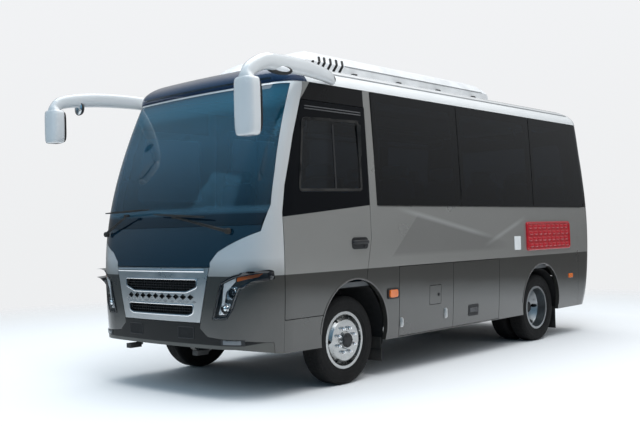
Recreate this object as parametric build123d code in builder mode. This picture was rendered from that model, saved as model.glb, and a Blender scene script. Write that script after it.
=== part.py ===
from build123d import *
import os
from math import sqrt, cos, sin, radians

# ---------------------------------------------------------------- main sizes
# millimetres; +Z up, front of the bus toward -Y, left-hand (driver) side +X
FRONT_AXLE_Y = -1645.0
REAR_AXLE_Y = 1675.0
TYRE_R = 365.0
WHEEL_X = 890.0            # centre plane of front and outer rear tyres
DUAL_PITCH = 232.0         # spacing of the twin rear tyres
KINGPIN_X = 800.0
WALL = 40.0                # thickness of every outer panel
GLASS_OUT = 2.0            # glass sits this far inside the outer surface
GLASS_IN = 8.0
RECESS = 11.0              # depth of the rebate the side glass is bonded in
SKIRT_Z = 320.0
CANT_Z = 2460.0            # top of the side walls
TONE_Z = 947.0             # line between light and dark paint
FLOOR_Z = 800.0
FLOOR_T = 40.0
BOW_FRONT = 6800.0
BOW_REAR = 5200.0
GAP = 6.0                  # shut line around moving panels
SEAM = 2.0                 # seam between fixed panels

# plan outline of the walls at each height
WALL_SECTIONS = [
    dict(z=320.0, half=1030.0, front=-2800.0, rear=2955.0, r_front=430.0, r_rear=250.0),
    dict(z=620.0, half=1050.0, front=-2800.0, rear=3035.0, r_front=430.0, r_rear=240.0),
    dict(z=960.0, half=1060.0, front=-2800.0, rear=3062.0, r_front=420.0, r_rear=230.0),
    dict(z=1480.0, half=1052.0, front=-2728.0, rear=3060.0, r_front=370.0, r_rear=220.0),
    dict(z=1800.0, half=1040.0, front=-2622.0, rear=3018.0, r_front=310.0, r_rear=215.0),
    dict(z=2120.0, half=1025.0, front=-2486.0, rear=2962.0, r_front=255.0, r_rear=210.0),
    dict(z=2460.0, half=1006.0, front=-2318.0, rear=2900.0, r_front=205.0, r_rear=205.0),
]
# plan outline of the roof at each height, outside and inside
ROOF_SECTIONS = [
    dict(z=2462.0, half=1006.0, front=-2322.0, rear=2900.0, r_front=205.0, r_rear=205.0),
    dict(z=2530.0, half=980.0, front=-2316.0, rear=2884.0, r_front=200.0, r_rear=200.0),
    dict(z=2590.0, half=915.0, front=-2262.0, rear=2830.0, r_front=190.0, r_rear=190.0),
    dict(z=2640.0, half=790.0, front=-2125.0, rear=2700.0, r_front=170.0, r_rear=170.0),
    dict(z=2672.0, half=650.0, front=-1900.0, rear=2500.0, r_front=150.0, r_rear=150.0),
    dict(z=2700.0, half=420.0, front=-1600.0, rear=2200.0, r_front=130.0, r_rear=130.0),
]
ROOF_INNER = [
    dict(z=2450.0, half=966.0, front=-2282.0, rear=2860.0, r_front=165.0, r_rear=165.0),
    dict(z=2515.0, half=940.0, front=-2270.0, rear=2842.0, r_front=160.0, r_rear=160.0),
    dict(z=2560.0, half=880.0, front=-2210.0, rear=2780.0, r_front=150.0, r_rear=150.0),
    dict(z=2602.0, half=760.0, front=-2075.0, rear=2655.0, r_front=140.0, r_rear=140.0),
    dict(z=2632.0, half=620.0, front=-1860.0, rear=2460.0, r_front=130.0, r_rear=130.0),
    dict(z=2658.0, half=400.0, front=-1580.0, rear=2180.0, r_front=120.0, r_rear=120.0),
]

# wheel arches, in side view
ARCH_FRONT = (-1585.0, 436.0, 428.0)
ARCH_REAR = (1656.0, 432.0, 416.0)

# outlines in side view (y, z)
DRIVER_DOOR = [(-2423, 606), (-1700, 606), (-1460, 700), (-1444, 890), (-1372, 1204),
               (-1376, 2310), (-2158, 2310), (-2268, 2022), (-2385, 1631), (-2423, 1420)]
FASCIA_EDGE = [(-2429, 250), (-2429, 1420), (-2391, 1631), (-2274, 2022), (-2133, 2400), (-2112, 2520),
               (-3200, 2520), (-3200, 250)]
DOOR_GLASS = [(-2250, 1580), (-1462, 1590), (-1468, 2190), (-2150, 2175)]
PASSENGER_DOOR = [(-1100, 330), (-330, 330), (-330, 2310), (-1100, 2310)]
PASSENGER_GLASS = [(-1050, 1050), (-380, 1050), (-380, 2250), (-1050, 2250)]
FLAP_FRONT = [(-985, 329), (-122, 329), (-122, 944), (-985, 944)]
FLAP_REAR = [(-122, 329), (735, 329), (735, 944), (-122, 944)]
FUEL_DOOR = [(-517, 571), (-335, 571), (-335, 742), (-517, 742)]
BAND_LEFT = [(-1272, 1479), (2700, 1479), (2775, 1530), (2800, 1640), (2800, 2500), (-1290, 2500)]
BAND_RIGHT = [(-290, 1479), (2700, 1479), (2775, 1530), (2800, 1640), (2800, 2500), (-290, 2500)]
# panes and the openings behind them: first and last y, lower and upper z
PANES_LEFT = [
    dict(name="front", y0=-1268.0, y1=64.0, hole0=-1205.0, hole1=5.0),
    dict(name="middle", y0=72.0, y1=1515.0, hole0=135.0, hole1=1455.0),
    dict(name="rear", y0=1523.0, y1=2794.0, hole0=1590.0, hole1=2700.0),
]
PANES_RIGHT = [
    dict(name="front", y0=-286.0, y1=64.0, hole0=-225.0, hole1=5.0),
    dict(name="middle", y0=72.0, y1=1515.0, hole0=135.0, hole1=1455.0),
    dict(name="rear", y0=1523.0, y1=2794.0, hole0=1590.0, hole1=2700.0),
]
PANE_Z0, PANE_Z1 = 1484.0, 2455.0
HOLE_Z0, HOLE_Z1 = 1545.0, 2385.0
REAR_EDGE_Y = 2568.0

# outlines in front view (x, z), right half from bottom to top
SCREEN_HALF = [(966, 1300), (998, 1480), (992, 1740), (976, 2030), (950, 2440)]
MASK_HALF = [(588, 1018), (588, 1053), (664, 1132), (966, 1284)]
SCREEN_Z0 = 1330.0
CHIN = [(-3200, 200), (-3200, 400), (-2720, 396), (-2440, 352), (-1990, 347), (-1990, 200)]
GRILLE_PANEL = [(-475, 590), (475, 590), (582, 1012), (-582, 1012)]
GRILLE_UPPER = [(-446, 920), (446, 920), (446, 860), (330, 822), (-330, 822), (-446, 860)]
GRILLE_LOWER = [(-405, 722), (405, 722), (400, 660), (350, 642), (-350, 642), (-400, 660)]
GRILLE_HOLE_Z = 783.0
HEADLAMP = [(608, 618), (745, 625), (800, 700), (850, 850), (950, 905), (1025, 920),
            (1022, 985), (940, 985), (800, 950), (700, 900)]


def plan_points(s, inset=0.0):
    """Corner points of a plan outline: (tangent, middle, end) for each corner."""
    half, front, rear = s["half"] - inset, s["front"] + inset, s["rear"] - inset
    rf, rr = s["r_front"] - inset, s["r_rear"] - inset
    bf, br = BOW_FRONT - inset, BOW_REAR - inset
    out = {}
    for name, r, bow, tip, sign in (("front", rf, bf, front, 1.0), ("rear", rr, br, rear, -1.0)):
        cx = half - r
        bow_y = tip + sign * bow
        cy = bow_y - sign * sqrt((bow - r) ** 2 - cx ** 2)
        k = bow / (bow - r)
        tx, ty = cx * k, bow_y + (cy - bow_y) * k
        ux, uy = (tx - cx) / r + 1.0, (ty - cy) / r
        n = sqrt(ux * ux + uy * uy)
        out[name] = dict(tip=(0.0, tip), tan=(tx, ty), mid=(cx + r * ux / n, cy + r * uy / n), end=(half, cy))
    return out


def flip(p):
    return (-p[0], p[1])


def plan_loft(sections, inset=0.0, first=None, last=None):
    """Solid through plan outlines moved inward by inset."""
    with BuildPart() as form:
        for i, s in enumerate(sections):
            z = s["z"]
            if i == 0 and first is not None:
                z = first
            if i == len(sections) - 1 and last is not None:
                z = last
            p = plan_points(s, inset)
            f, r = p["front"], p["rear"]
            with BuildSketch(Plane.XY.offset(z)):
                with BuildLine():
                    ThreePointArc(flip(f["tan"]), f["tip"], f["tan"])
                    ThreePointArc(f["tan"], f["mid"], f["end"])
                    Line(f["end"], r["end"])
                    ThreePointArc(r["end"], r["mid"], r["tan"])
                    ThreePointArc(r["tan"], r["tip"], flip(r["tan"]))
                    ThreePointArc(flip(r["tan"]), flip(r["mid"]), flip(r["end"]))
                    Line(flip(r["end"]), flip(f["end"]))
                    ThreePointArc(flip(f["end"]), flip(f["mid"]), flip(f["tan"]))
                make_face()
        loft()
    return form.part


def side_prism(points, x0, x1, grow=0.0, round_r=0.0):
    """Prism across the bus over an outline in side view."""
    with BuildPart() as prism:
        with BuildSketch(Plane.YZ.offset(x0)) as s:
            with BuildLine():
                Polyline(*points, close=True)
            make_face()
            if grow:
                offset(amount=grow, kind=Kind.INTERSECTION)
            if round_r:
                fillet(s.vertices(), round_r)
        extrude(amount=x1 - x0)
    return prism.part


def front_prism(points, y_back, y_front, grow=0.0, round_r=0.0):
    """Prism along the bus over an outline in front view."""
    with BuildPart() as prism:
        with BuildSketch(Plane.XZ.offset(-y_back)) as s:
            with BuildLine():
                Polyline(*points, close=True)
            make_face()
            if grow:
                offset(amount=grow, kind=Kind.INTERSECTION)
            if round_r:
                fillet(s.vertices(), round_r)
        extrude(amount=y_back - y_front)
    return prism.part


def drum(x0, x1, y, z, r):
    """Cylinder across the bus."""
    with BuildPart() as d:
        with BuildSketch(Plane.YZ.offset(x0)):
            with Locations((y, z)):
                Circle(r)
        extrude(amount=x1 - x0)
    return d.part


def block(x0, x1, y0, y1, z0, z1):
    with BuildPart() as b:
        with Locations(((x0 + x1) / 2, (y0 + y1) / 2, (z0 + z1) / 2)):
            Box(x1 - x0, y1 - y0, z1 - z0)
    return b.part


def both(points):
    """Closed outline from its right half, listed bottom to top."""
    return list(points) + [flip(p) for p in reversed(points)]


# ---------------------------------------------------------------- body forms
outer_form = plan_loft(WALL_SECTIONS)
inner_form = plan_loft(WALL_SECTIONS, inset=WALL, first=310.0, last=2470.0)
glass_outer = plan_loft(WALL_SECTIONS, inset=GLASS_OUT)
glass_inner = plan_loft(WALL_SECTIONS, inset=GLASS_IN, first=310.0, last=2470.0)
rebate_form = plan_loft(WALL_SECTIONS, inset=RECESS, first=310.0, last=2470.0)

with BuildPart() as shell:
    add(outer_form)
    add(inner_form, mode=Mode.SUBTRACT)
with BuildPart() as glass_shell:
    add(glass_outer)
    add(glass_inner, mode=Mode.SUBTRACT)
with BuildPart() as rebate_shell:
    add(outer_form)
    add(rebate_form, mode=Mode.SUBTRACT)

front_region = side_prism(FASCIA_EDGE, -1200, 1200)
chin_cut = side_prism(CHIN, -1300, 1300)
front_region_cut = side_prism(FASCIA_EDGE, -1200, 1200, grow=SEAM)
arch_front_cut = drum(-1200, 1200, *ARCH_FRONT[:2], ARCH_FRONT[2])
arch_rear_cut = drum(-1200, 1200, *ARCH_REAR[:2], ARCH_REAR[2])
rear_region = block(-1200, 1200, REAR_EDGE_Y, 3200, 300, 2500)

# ---------------------------------------------------------------- side walls
def side_wall(sign, doors, flaps, band, panes, extra_holes):
    """One side wall between the front and rear corner panels."""
    x0, x1 = (500.0, 1200.0) if sign > 0 else (-1200.0, -500.0)
    keep = block(x0, x1, -2700, REAR_EDGE_Y - SEAM, 300, 2500)
    band_cut = side_prism(band, x0, x1)
    cuts = [side_prism(p, x0, x1, grow=g) for p, g in doors + flaps]
    for p in panes:
        hole = [(p["hole0"], HOLE_Z0), (p["hole1"], HOLE_Z0), (p["hole1"], HOLE_Z1), (p["hole0"], HOLE_Z1)]
        if p["name"] == "rear":
            hole[1] = (REAR_EDGE_Y - 60.0, HOLE_Z0)
            hole[2] = (REAR_EDGE_Y - 60.0, HOLE_Z1)
        cuts.append(side_prism(hole, x0, x1, round_r=45.0))
    for p in extra_holes:
        cuts.append(side_prism(p, x0, x1, round_r=40.0))
    with BuildPart() as rebate:
        add(rebate_shell.part)
        add(band_cut, mode=Mode.INTERSECT)
    with BuildPart() as wall:
        add(shell.part)
        add(keep, mode=Mode.INTERSECT)
        add(front_region_cut, mode=Mode.SUBTRACT)
        add(arch_front_cut, mode=Mode.SUBTRACT)
        add(arch_rear_cut, mode=Mode.SUBTRACT)
        add(rebate.part, mode=Mode.SUBTRACT)
        for c in cuts:
            add(c, mode=Mode.SUBTRACT)
    return wall.part


left_wall = side_wall(1, [(DRIVER_DOOR, GAP)], [(FLAP_FRONT, 3.0), (FLAP_REAR, 3.0)], BAND_LEFT, PANES_LEFT, [])
right_wall = side_wall(-1, [(PASSENGER_DOOR, GAP)], [], BAND_RIGHT, PANES_RIGHT, [DOOR_GLASS])
with BuildPart() as body_side_left:
    add(left_wall)
    add(chin_cut, mode=Mode.SUBTRACT)
with BuildPart() as body_side_right:
    add(right_wall)
    add(chin_cut, mode=Mode.SUBTRACT)


def pane(sign, points, round_r=0.0, grow=0.0):
    """Curved sheet of glass over an outline in side view."""
    x0, x1 = (500.0, 1200.0) if sign > 0 else (-1200.0, -500.0)
    cutter = side_prism(points, x0, x1, grow=grow, round_r=round_r)
    with BuildPart() as sheet:
        add(glass_shell.part)
        add(cutter, mode=Mode.INTERSECT)
    return sheet.part


def pane_points(p):
    if p["name"] == "rear":
        return [(p["y0"], PANE_Z0), (2696, PANE_Z0), (2769, 1533), (p["y1"], 1642), (p["y1"], PANE_Z1), (p["y0"], PANE_Z1)]
    return [(p["y0"], PANE_Z0), (p["y1"], PANE_Z0), (p["y1"], PANE_Z1), (p["y0"], PANE_Z1)]


left_sheets = [pane(1, pane_points(p)) for p in PANES_LEFT]
right_sheets = [pane(-1, pane_points(p)) for p in PANES_RIGHT] + [pane(-1, DOOR_GLASS, round_r=38.0, grow=-2.0)]
with BuildPart() as side_windows_left:
    for s in left_sheets:
        add(s)
with BuildPart() as side_windows_right:
    for s in right_sheets:
        add(s)

# ---------------------------------------------------------------- doors
driver_cut = side_prism(DRIVER_DOOR, 500, 1200)
driver_glass_cut = side_prism(DOOR_GLASS, 500, 1200, round_r=40.0)
arch_door_cut = drum(-1200, 1200, *ARCH_FRONT[:2], ARCH_FRONT[2])
with BuildPart() as driver_door:
    add(shell.part)
    add(driver_cut, mode=Mode.INTERSECT)
    add(arch_door_cut, mode=Mode.SUBTRACT)
    add(driver_glass_cut, mode=Mode.SUBTRACT)
driver_sheet = pane(1, DOOR_GLASS, round_r=38.0, grow=-2.0)
with BuildPart() as driver_door_window:
    add(driver_sheet)

passenger_cut = side_prism(PASSENGER_DOOR, -1200, -500)
passenger_glass_cut = side_prism(PASSENGER_GLASS, -1200, -500, round_r=60.0)
with BuildPart() as passenger_door:
    add(shell.part)
    add(passenger_cut, mode=Mode.INTERSECT)
    add(passenger_glass_cut, mode=Mode.SUBTRACT)
passenger_sheet = pane(-1, PASSENGER_GLASS, round_r=58.0, grow=-2.0)
with BuildPart() as passenger_door_window:
    add(passenger_sheet)

# ---------------------------------------------------------------- luggage flaps
flap_front_cut = side_prism(FLAP_FRONT, 500, 1200, grow=-3.0)
flap_rear_cut = side_prism(FLAP_REAR, 500, 1200, grow=-3.0)
fuel_opening = side_prism(FUEL_DOOR, 500, 1200, grow=5.0, round_r=12.0)
with BuildPart() as luggage_flap_front:
    add(shell.part)
    add(flap_front_cut, mode=Mode.INTERSECT)
    add(fuel_opening, mode=Mode.SUBTRACT)
with BuildPart() as luggage_flap_rear:
    add(shell.part)
    add(flap_rear_cut, mode=Mode.INTERSECT)
fuel_cut = side_prism(FUEL_DOOR, 500, 1200, round_r=8.0)
fuel_inner = plan_loft(WALL_SECTIONS, inset=18.0, first=310.0, last=2470.0)
with BuildPart() as fuel_door:
    add(outer_form)
    add(fuel_inner, mode=Mode.SUBTRACT)
    add(fuel_cut, mode=Mode.INTERSECT)

# ---------------------------------------------------------------- front end
screen_outline = both([(966, SCREEN_Z0)] + SCREEN_HALF[1:])
mask_outline = both([p for p in MASK_HALF] + [(967, SCREEN_Z0 - SEAM)])
black_outline = both([p for p in MASK_HALF] + SCREEN_HALF[1:])
bumper_outline = both([(1000, 300), (1000, 441), (905, 454), (552, 482), (472, 545), (478, 583)])
screen_cut = front_prism(screen_outline, -1900, -3000)
mask_cut = front_prism(mask_outline, -2100, -3000)
black_cut = front_prism(black_outline, -1900, -3000, grow=3.0)
grille_cut = front_prism(GRILLE_PANEL, -2300, -3000)
grille_clear = front_prism(GRILLE_PANEL, -2300, -3000, grow=GAP)
bumper_cut = front_prism(bumper_outline, -2300, -3000)
bumper_clear = front_prism(bumper_outline, -2300, -3000, grow=3.0)
lamp_cuts = [front_prism(HEADLAMP, -2445, -3000, round_r=12.0),
             front_prism([flip(p) for p in reversed(HEADLAMP)], -2445, -3000, round_r=12.0)]
lamp_clear = [front_prism(HEADLAMP, -2440, -3000, grow=3.0, round_r=12.0),
              front_prism([flip(p) for p in reversed(HEADLAMP)], -2440, -3000, grow=3.0, round_r=12.0)]

with BuildPart() as front_fascia:
    add(shell.part)
    add(front_region, mode=Mode.INTERSECT)
    add(chin_cut, mode=Mode.SUBTRACT)
    add(arch_front_cut, mode=Mode.SUBTRACT)
    add(black_cut, mode=Mode.SUBTRACT)
    add(grille_clear, mode=Mode.SUBTRACT)
    add(bumper_clear, mode=Mode.SUBTRACT)
    for c in lamp_clear:
        add(c, mode=Mode.SUBTRACT)

with BuildPart() as windscreen:
    add(glass_shell.part)
    add(screen_cut, mode=Mode.INTERSECT)

with BuildPart() as front_mask:
    add(shell.part)
    add(mask_cut, mode=Mode.INTERSECT)

upper_cut = front_prism(GRILLE_UPPER, -2300, -3000, round_r=14.0)
lower_cut = front_prism(GRILLE_LOWER, -2300, -3000, round_r=14.0)
hole_cuts = []
for i in range(10):
    hx = -378.0 + 84.0 * i
    hole_cuts.append(front_prism([(hx - 27, GRILLE_HOLE_Z), (hx, GRILLE_HOLE_Z - 15), (hx + 27, GRILLE_HOLE_Z), (hx, GRILLE_HOLE_Z + 15)], -2300, -3000))
with BuildPart() as front_grille_panel:
    add(shell.part)
    add(grille_cut, mode=Mode.INTERSECT)
    add(upper_cut, mode=Mode.SUBTRACT)
    add(lower_cut, mode=Mode.SUBTRACT)
    for c in hole_cuts:
        add(c, mode=Mode.SUBTRACT)

with BuildPart() as front_bumper:
    add(shell.part)
    add(bumper_cut, mode=Mode.INTERSECT)
    add(front_region, mode=Mode.INTERSECT)
    add(chin_cut, mode=Mode.SUBTRACT)

with BuildPart() as headlamps:
    add(lamp_cuts[0])
    add(lamp_cuts[1])
    add(shell.part, mode=Mode.INTERSECT)

# ---------------------------------------------------------------- rear end
REAR_WINDOW = [(-800, 1480), (800, 1480), (770, 2330), (-770, 2330)]
REAR_HOLE = [(-735, 1545), (735, 1545), (708, 2265), (-708, 2265)]
REAR_DOOR = [(-600, 640), (600, 640), (600, 1340), (-600, 1340)]
TAIL_LAMP = [(830, 800), (975, 800), (975, 1330), (860, 1330)]
rear_window_cut = front_prism(REAR_WINDOW, 3300, 2700, round_r=110.0)
rear_window_clear = front_prism(REAR_WINDOW, 3300, 2700, grow=3.0, round_r=112.0)
rear_hole_cut = front_prism(REAR_HOLE, 3300, 2700, round_r=80.0)
rear_door_cut = front_prism(REAR_DOOR, 3300, 2700, round_r=60.0)
rear_door_clear = front_prism(REAR_DOOR, 3300, 2700, grow=GAP, round_r=66.0)
tail_left = front_prism(TAIL_LAMP, 3300, 2850, round_r=20.0)
tail_right = front_prism([flip(p) for p in reversed(TAIL_LAMP)], 3300, 2850, round_r=20.0)
tail_left_clear = front_prism(TAIL_LAMP, 3300, 2840, grow=3.0, round_r=22.0)
tail_right_clear = front_prism([flip(p) for p in reversed(TAIL_LAMP)], 3300, 2840, grow=3.0, round_r=22.0)
band_cut_left = side_prism(BAND_LEFT, 500, 1200)
band_cut_right = side_prism(BAND_RIGHT, -1200, -500)
with BuildPart() as rear_rebate:
    add(rear_window_clear)
    add(band_cut_left)
    add(band_cut_right)
    add(rebate_shell.part, mode=Mode.INTERSECT)
with BuildPart() as rear_panel:
    add(shell.part)
    add(rear_region, mode=Mode.INTERSECT)
    add(rear_rebate.part, mode=Mode.SUBTRACT)
    add(rear_hole_cut, mode=Mode.SUBTRACT)
    add(rear_door_clear, mode=Mode.SUBTRACT)
    add(tail_left_clear, mode=Mode.SUBTRACT)
    add(tail_right_clear, mode=Mode.SUBTRACT)
with BuildPart() as rear_window:
    add(glass_shell.part)
    add(rear_window_cut, mode=Mode.INTERSECT)
with BuildPart() as rear_luggage_door:
    add(shell.part)
    add(rear_door_cut, mode=Mode.INTERSECT)
with BuildPart() as tail_lamps:
    add(tail_left)
    add(tail_right)
    add(shell.part, mode=Mode.INTERSECT)

# ---------------------------------------------------------------- roof
VISOR = [(-3000, 2455), (-2070, 2455), (-2150, 2625), (-3000, 2625)]
roof_outer = plan_loft(ROOF_SECTIONS)
roof_inner = plan_loft(ROOF_INNER)
visor_cut = side_prism(VISOR, -1200, 1200)
visor_clear = side_prism(VISOR, -1200, 1200, grow=SEAM)
with BuildPart() as roof_shell:
    add(roof_outer)
    add(roof_inner, mode=Mode.SUBTRACT)
with BuildPart() as roof_panel:
    add(roof_shell.part)
    add(visor_clear, mode=Mode.SUBTRACT)
with BuildPart() as roof_visor:
    add(roof_shell.part)
    add(visor_cut, mode=Mode.INTERSECT)

AC_FRONT, AC_REAR, AC_TOP = -1690.0, 1390.0, 2880.0
ac_section = front_prism([(-600, 2600), (600, 2600), (590, 2760), (520, 2840), (420, AC_TOP),
                          (-420, AC_TOP), (-520, 2840), (-590, 2760)], 1500, -1800)
ac_side = side_prism([(AC_FRONT, 2600), (AC_FRONT, 2720), (AC_FRONT + 230, AC_TOP), (AC_REAR - 260, AC_TOP),
                      (AC_REAR - 60, 2800), (AC_REAR, 2730), (AC_REAR, 2600)], -700, 700)
with BuildPart() as roof_ac_unit:
    add(ac_section)
    add(ac_side, mode=Mode.INTERSECT)
    add(roof_outer, mode=Mode.SUBTRACT)
with BuildPart() as roof_hatch:
    with BuildSketch(Plane.XY.offset(2600)):
        with Locations((0, 2050)):
            RectangleRounded(800, 1180, 90)
    extrude(amount=136)
    fillet(roof_hatch.edges().group_by(Axis.Z)[-1], 18)
    add(roof_outer, mode=Mode.SUBTRACT)

# ---------------------------------------------------------------- floor
cabin_form = plan_loft(WALL_SECTIONS, inset=WALL + 12.0, first=310.0, last=2470.0)
floor_slab = block(-1200, 1200, -2700, 3000, FLOOR_Z, FLOOR_Z + FLOOR_T)
engine_cover = block(-330, 330, -2480, -1760, FLOOR_Z, 1060)
engine_space = block(-300, 300, -2450, -1790, FLOOR_Z - 20, 1030)
well_tray = block(-985, -640, -1090, -340, 420, FLOOR_Z + FLOOR_T)
well_space = block(-1100, -665, -1065, -365, 445, FLOOR_Z + FLOOR_T + 10)
well_step = block(-900, -665, -1065, -365, 445, 620)
with BuildPart() as floor_panel:
    add(floor_slab)
    add(engine_cover)
    add(well_tray)
    add(engine_space, mode=Mode.SUBTRACT)
    add(well_space, mode=Mode.SUBTRACT)
    add(well_step)
    add(cabin_form, mode=Mode.INTERSECT)

# ---------------------------------------------------------------- chassis
RAIL_X, RAIL_W, RAIL_Z0, RAIL_Z1 = 425.0, 60.0, 500.0, 640.0
RAIL_FRONT, RAIL_REAR = -2690.0, 2880.0
CROSS_MEMBERS = [-2600.0, -1250.0, -350.0, 500.0, 1250.0, 2100.0, 2780.0]
EYE_R, EYE_T = 15.0, 38.0
EYE_FRONT_Z, EYE_REAR_Z = 356.0, 281.0
with BuildPart() as chassis_rails:
    for x in (-RAIL_X, RAIL_X):
        with Locations((x, (RAIL_FRONT + RAIL_REAR) / 2, (RAIL_Z0 + RAIL_Z1) / 2)):
            Box(RAIL_W, RAIL_REAR - RAIL_FRONT, RAIL_Z1 - RAIL_Z0)
        with Locations((x, RAIL_FRONT - 50, EYE_FRONT_Z), (x, RAIL_REAR + 35, EYE_REAR_Z)):
            Box(RAIL_W, 110, EYE_T)
        with Locations((x, RAIL_FRONT + 10, (EYE_FRONT_Z + 540) / 2)):
            Box(RAIL_W, 20, 540 - EYE_FRONT_Z)
        with Locations((x, RAIL_REAR - 10, (EYE_REAR_Z + 540) / 2)):
            Box(RAIL_W, 20, 540 - EYE_REAR_Z)
        with Locations((x, RAIL_FRONT - 70, EYE_FRONT_Z), (x, RAIL_REAR + 60, EYE_REAR_Z)):
            Cylinder(EYE_R, 60, mode=Mode.SUBTRACT)

with BuildPart() as chassis_cross_members:
    for y in CROSS_MEMBERS:
        with Locations((0, y, 570)):
            Box(2 * RAIL_X - RAIL_W, 60, 100)

with BuildPart() as engine_block:
    with Locations((0, -2120, 700)):
        Box(520, 600, 560)

with BuildPart() as propshaft:
    with BuildSketch(Plane((0, -1812, 468), z_dir=(0, 3280, -90))):
        Circle(40)
    extrude(amount=3270)

# ---------------------------------------------------------------- axles and steering
AXLE_Z = TYRE_R
with BuildPart() as front_axle:
    with Locations((0, FRONT_AXLE_Y, 330)):
        Box(1200, 70, 76)
    for s in (-1, 1):
        with BuildSketch(Plane.XZ.offset(-FRONT_AXLE_Y + 35 - 70)):
            with BuildLine():
                Polyline((s * 590, 292), (s * 700, 326), (s * KINGPIN_X, 326), (s * KINGPIN_X, 404),
                         (s * 680, 404), (s * 590, 368), close=True)
            make_face()
        extrude(amount=70)
        with Locations((s * KINGPIN_X, FRONT_AXLE_Y, AXLE_Z)):
            Cylinder(36, 78)
            Cylinder(21, 90, mode=Mode.SUBTRACT)

with BuildPart() as steering_knuckle_left:
    with Locations((KINGPIN_X, FRONT_AXLE_Y, AXLE_Z)):
        Cylinder(18, 160)
    for z in (302.0, 428.0):
        with Locations((KINGPIN_X, FRONT_AXLE_Y, z)):
            Cylinder(36, 36)
        with Locations((KINGPIN_X + 33, FRONT_AXLE_Y, z)):
            Box(66, 72, 36)
    with Locations((KINGPIN_X + 54, FRONT_AXLE_Y, AXLE_Z)):
        Box(24, 90, 162)
    with Locations((KINGPIN_X + 66 + 38, FRONT_AXLE_Y, AXLE_Z)):
        Cylinder(28, 76, rotation=(0, 90, 0))
with BuildPart() as steering_knuckle_right:
    mirror(steering_knuckle_left.part, about=Plane.YZ)

with BuildPart() as rear_axle:
    with Locations((0, REAR_AXLE_Y, AXLE_Z)):
        Cylinder(50, 1560, rotation=(0, 90, 0))
        Sphere(150)
    with Locations((0, REAR_AXLE_Y - 110, AXLE_Z)):
        Cylinder(70, 140, rotation=(90, 0, 0))

SPRINGS = [dict(y=FRONT_AXLE_Y, x=520.0, top=455.0), dict(y=REAR_AXLE_Y, x=505.0, top=470.0)]
with BuildPart() as leaf_springs:
    for s in SPRINGS:
        for side in (-1, 1):
            with BuildSketch(Plane.YZ.offset(side * s["x"] - 30)):
                with BuildLine():
                    Polyline((s["y"] - 560, 505), (s["y"] - 280, s["top"] - 22), (s["y"], s["top"] - 40),
                             (s["y"] + 280, s["top"] - 22), (s["y"] + 560, 505), (s["y"] + 560, 520),
                             (s["y"] + 280, s["top"] + 6), (s["y"], s["top"]), (s["y"] - 280, s["top"] + 6),
                             (s["y"] - 560, 520), close=True)
                make_face()
            extrude(amount=60)

# ---------------------------------------------------------------- wheels
RIM_HALF = 76.0
BEAD_R = 222.0
FLANGE_R = 236.0
BARREL = [(-RIM_HALF, 212), (RIM_HALF, 212), (RIM_HALF, FLANGE_R), (RIM_HALF - 10, FLANGE_R), (RIM_HALF - 12, BEAD_R),
          (-RIM_HALF + 12, BEAD_R), (-RIM_HALF + 10, FLANGE_R), (-RIM_HALF, FLANGE_R)]
FRONT_DISC = [(10, 213), (24, 213), (84, 168), (84, 60), (74, 60), (74, 162), (62, 166)]
REAR_DISC = [(-38, 213), (-24, 213), (-104, 162), (-106, 60), (-115, 60), (-115, 168), (-104, 172)]
HAND_HOLES = 6


def ring(points, shift=0.0):
    """Body of revolution about the wheel axis from an (axial, radial) outline."""
    with BuildPart() as r:
        with BuildSketch(Plane.XY):
            with BuildLine():
                Polyline(*[(a + shift, b) for a, b in points], close=True)
            make_face()
        revolve(axis=Axis.X)
    return r.part


def mirrored(points, about):
    return [(2 * about - a, b) for a, b in reversed(points)]


barrel = ring(BARREL)
front_disc = ring(FRONT_DISC)
front_hub = ring([(-18, 29.5), (60, 29.5), (60, 0), (104, 0), (104, 66), (84, 74), (-18, 74)])
rear_disc = ring(REAR_DISC)
rear_disc_inner = ring(mirrored(REAR_DISC, -DUAL_PITCH / 2 - 1.5))
barrel_inner = ring(BARREL, -DUAL_PITCH)
rear_hub = ring([(-185, 56), (-96, 56), (-96, 0), (-30, 0), (-30, 62), (-70, 76), (-185, 76)])

with BuildPart() as wheel_front_form:
    add(barrel)
    add(front_disc)
    add(front_hub)
    with Locations(Plane.YZ):
        with PolarLocations(192, HAND_HOLES):
            Cylinder(19, 260, mode=Mode.SUBTRACT)
with BuildPart() as wheel_rear_form:
    add(barrel)
    add(barrel_inner)
    add(rear_disc)
    add(rear_disc_inner)
    add(rear_hub)
    with Locations(Plane.YZ):
        with PolarLocations(190, HAND_HOLES):
            Cylinder(19, 900, mode=Mode.SUBTRACT)

TYRE = [(-62, 223), (62, 223), (62, 238), (80, 241), (92, 262), (95, 295), (91, 335), (76, 358), (58, TYRE_R),
        (-58, TYRE_R), (-76, 358), (-91, 335), (-95, 295), (-92, 262), (-80, 241), (-62, 238)]
tyre_form = ring(TYRE)
tyre_inner_form = ring(TYRE, -DUAL_PITCH)

with BuildPart() as front_wheel_left:
    with Locations((WHEEL_X, FRONT_AXLE_Y, AXLE_Z)):
        add(wheel_front_form.part)
with BuildPart() as front_tyre_left:
    with Locations((WHEEL_X, FRONT_AXLE_Y, AXLE_Z)):
        add(tyre_form)
with BuildPart() as rear_wheels_left:
    with Locations((WHEEL_X, REAR_AXLE_Y, AXLE_Z)):
        add(wheel_rear_form.part)
with BuildPart() as rear_tyres_left:
    with Locations((WHEEL_X, REAR_AXLE_Y, AXLE_Z)):
        add(tyre_form)
        add(tyre_inner_form)
with BuildPart() as front_wheel_right:
    mirror(front_wheel_left.part, about=Plane.YZ)
with BuildPart() as front_tyre_right:
    mirror(front_tyre_left.part, about=Plane.YZ)
with BuildPart() as rear_wheels_right:
    mirror(rear_wheels_left.part, about=Plane.YZ)
with BuildPart() as rear_tyres_right:
    mirror(rear_tyres_left.part, about=Plane.YZ)

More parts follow.
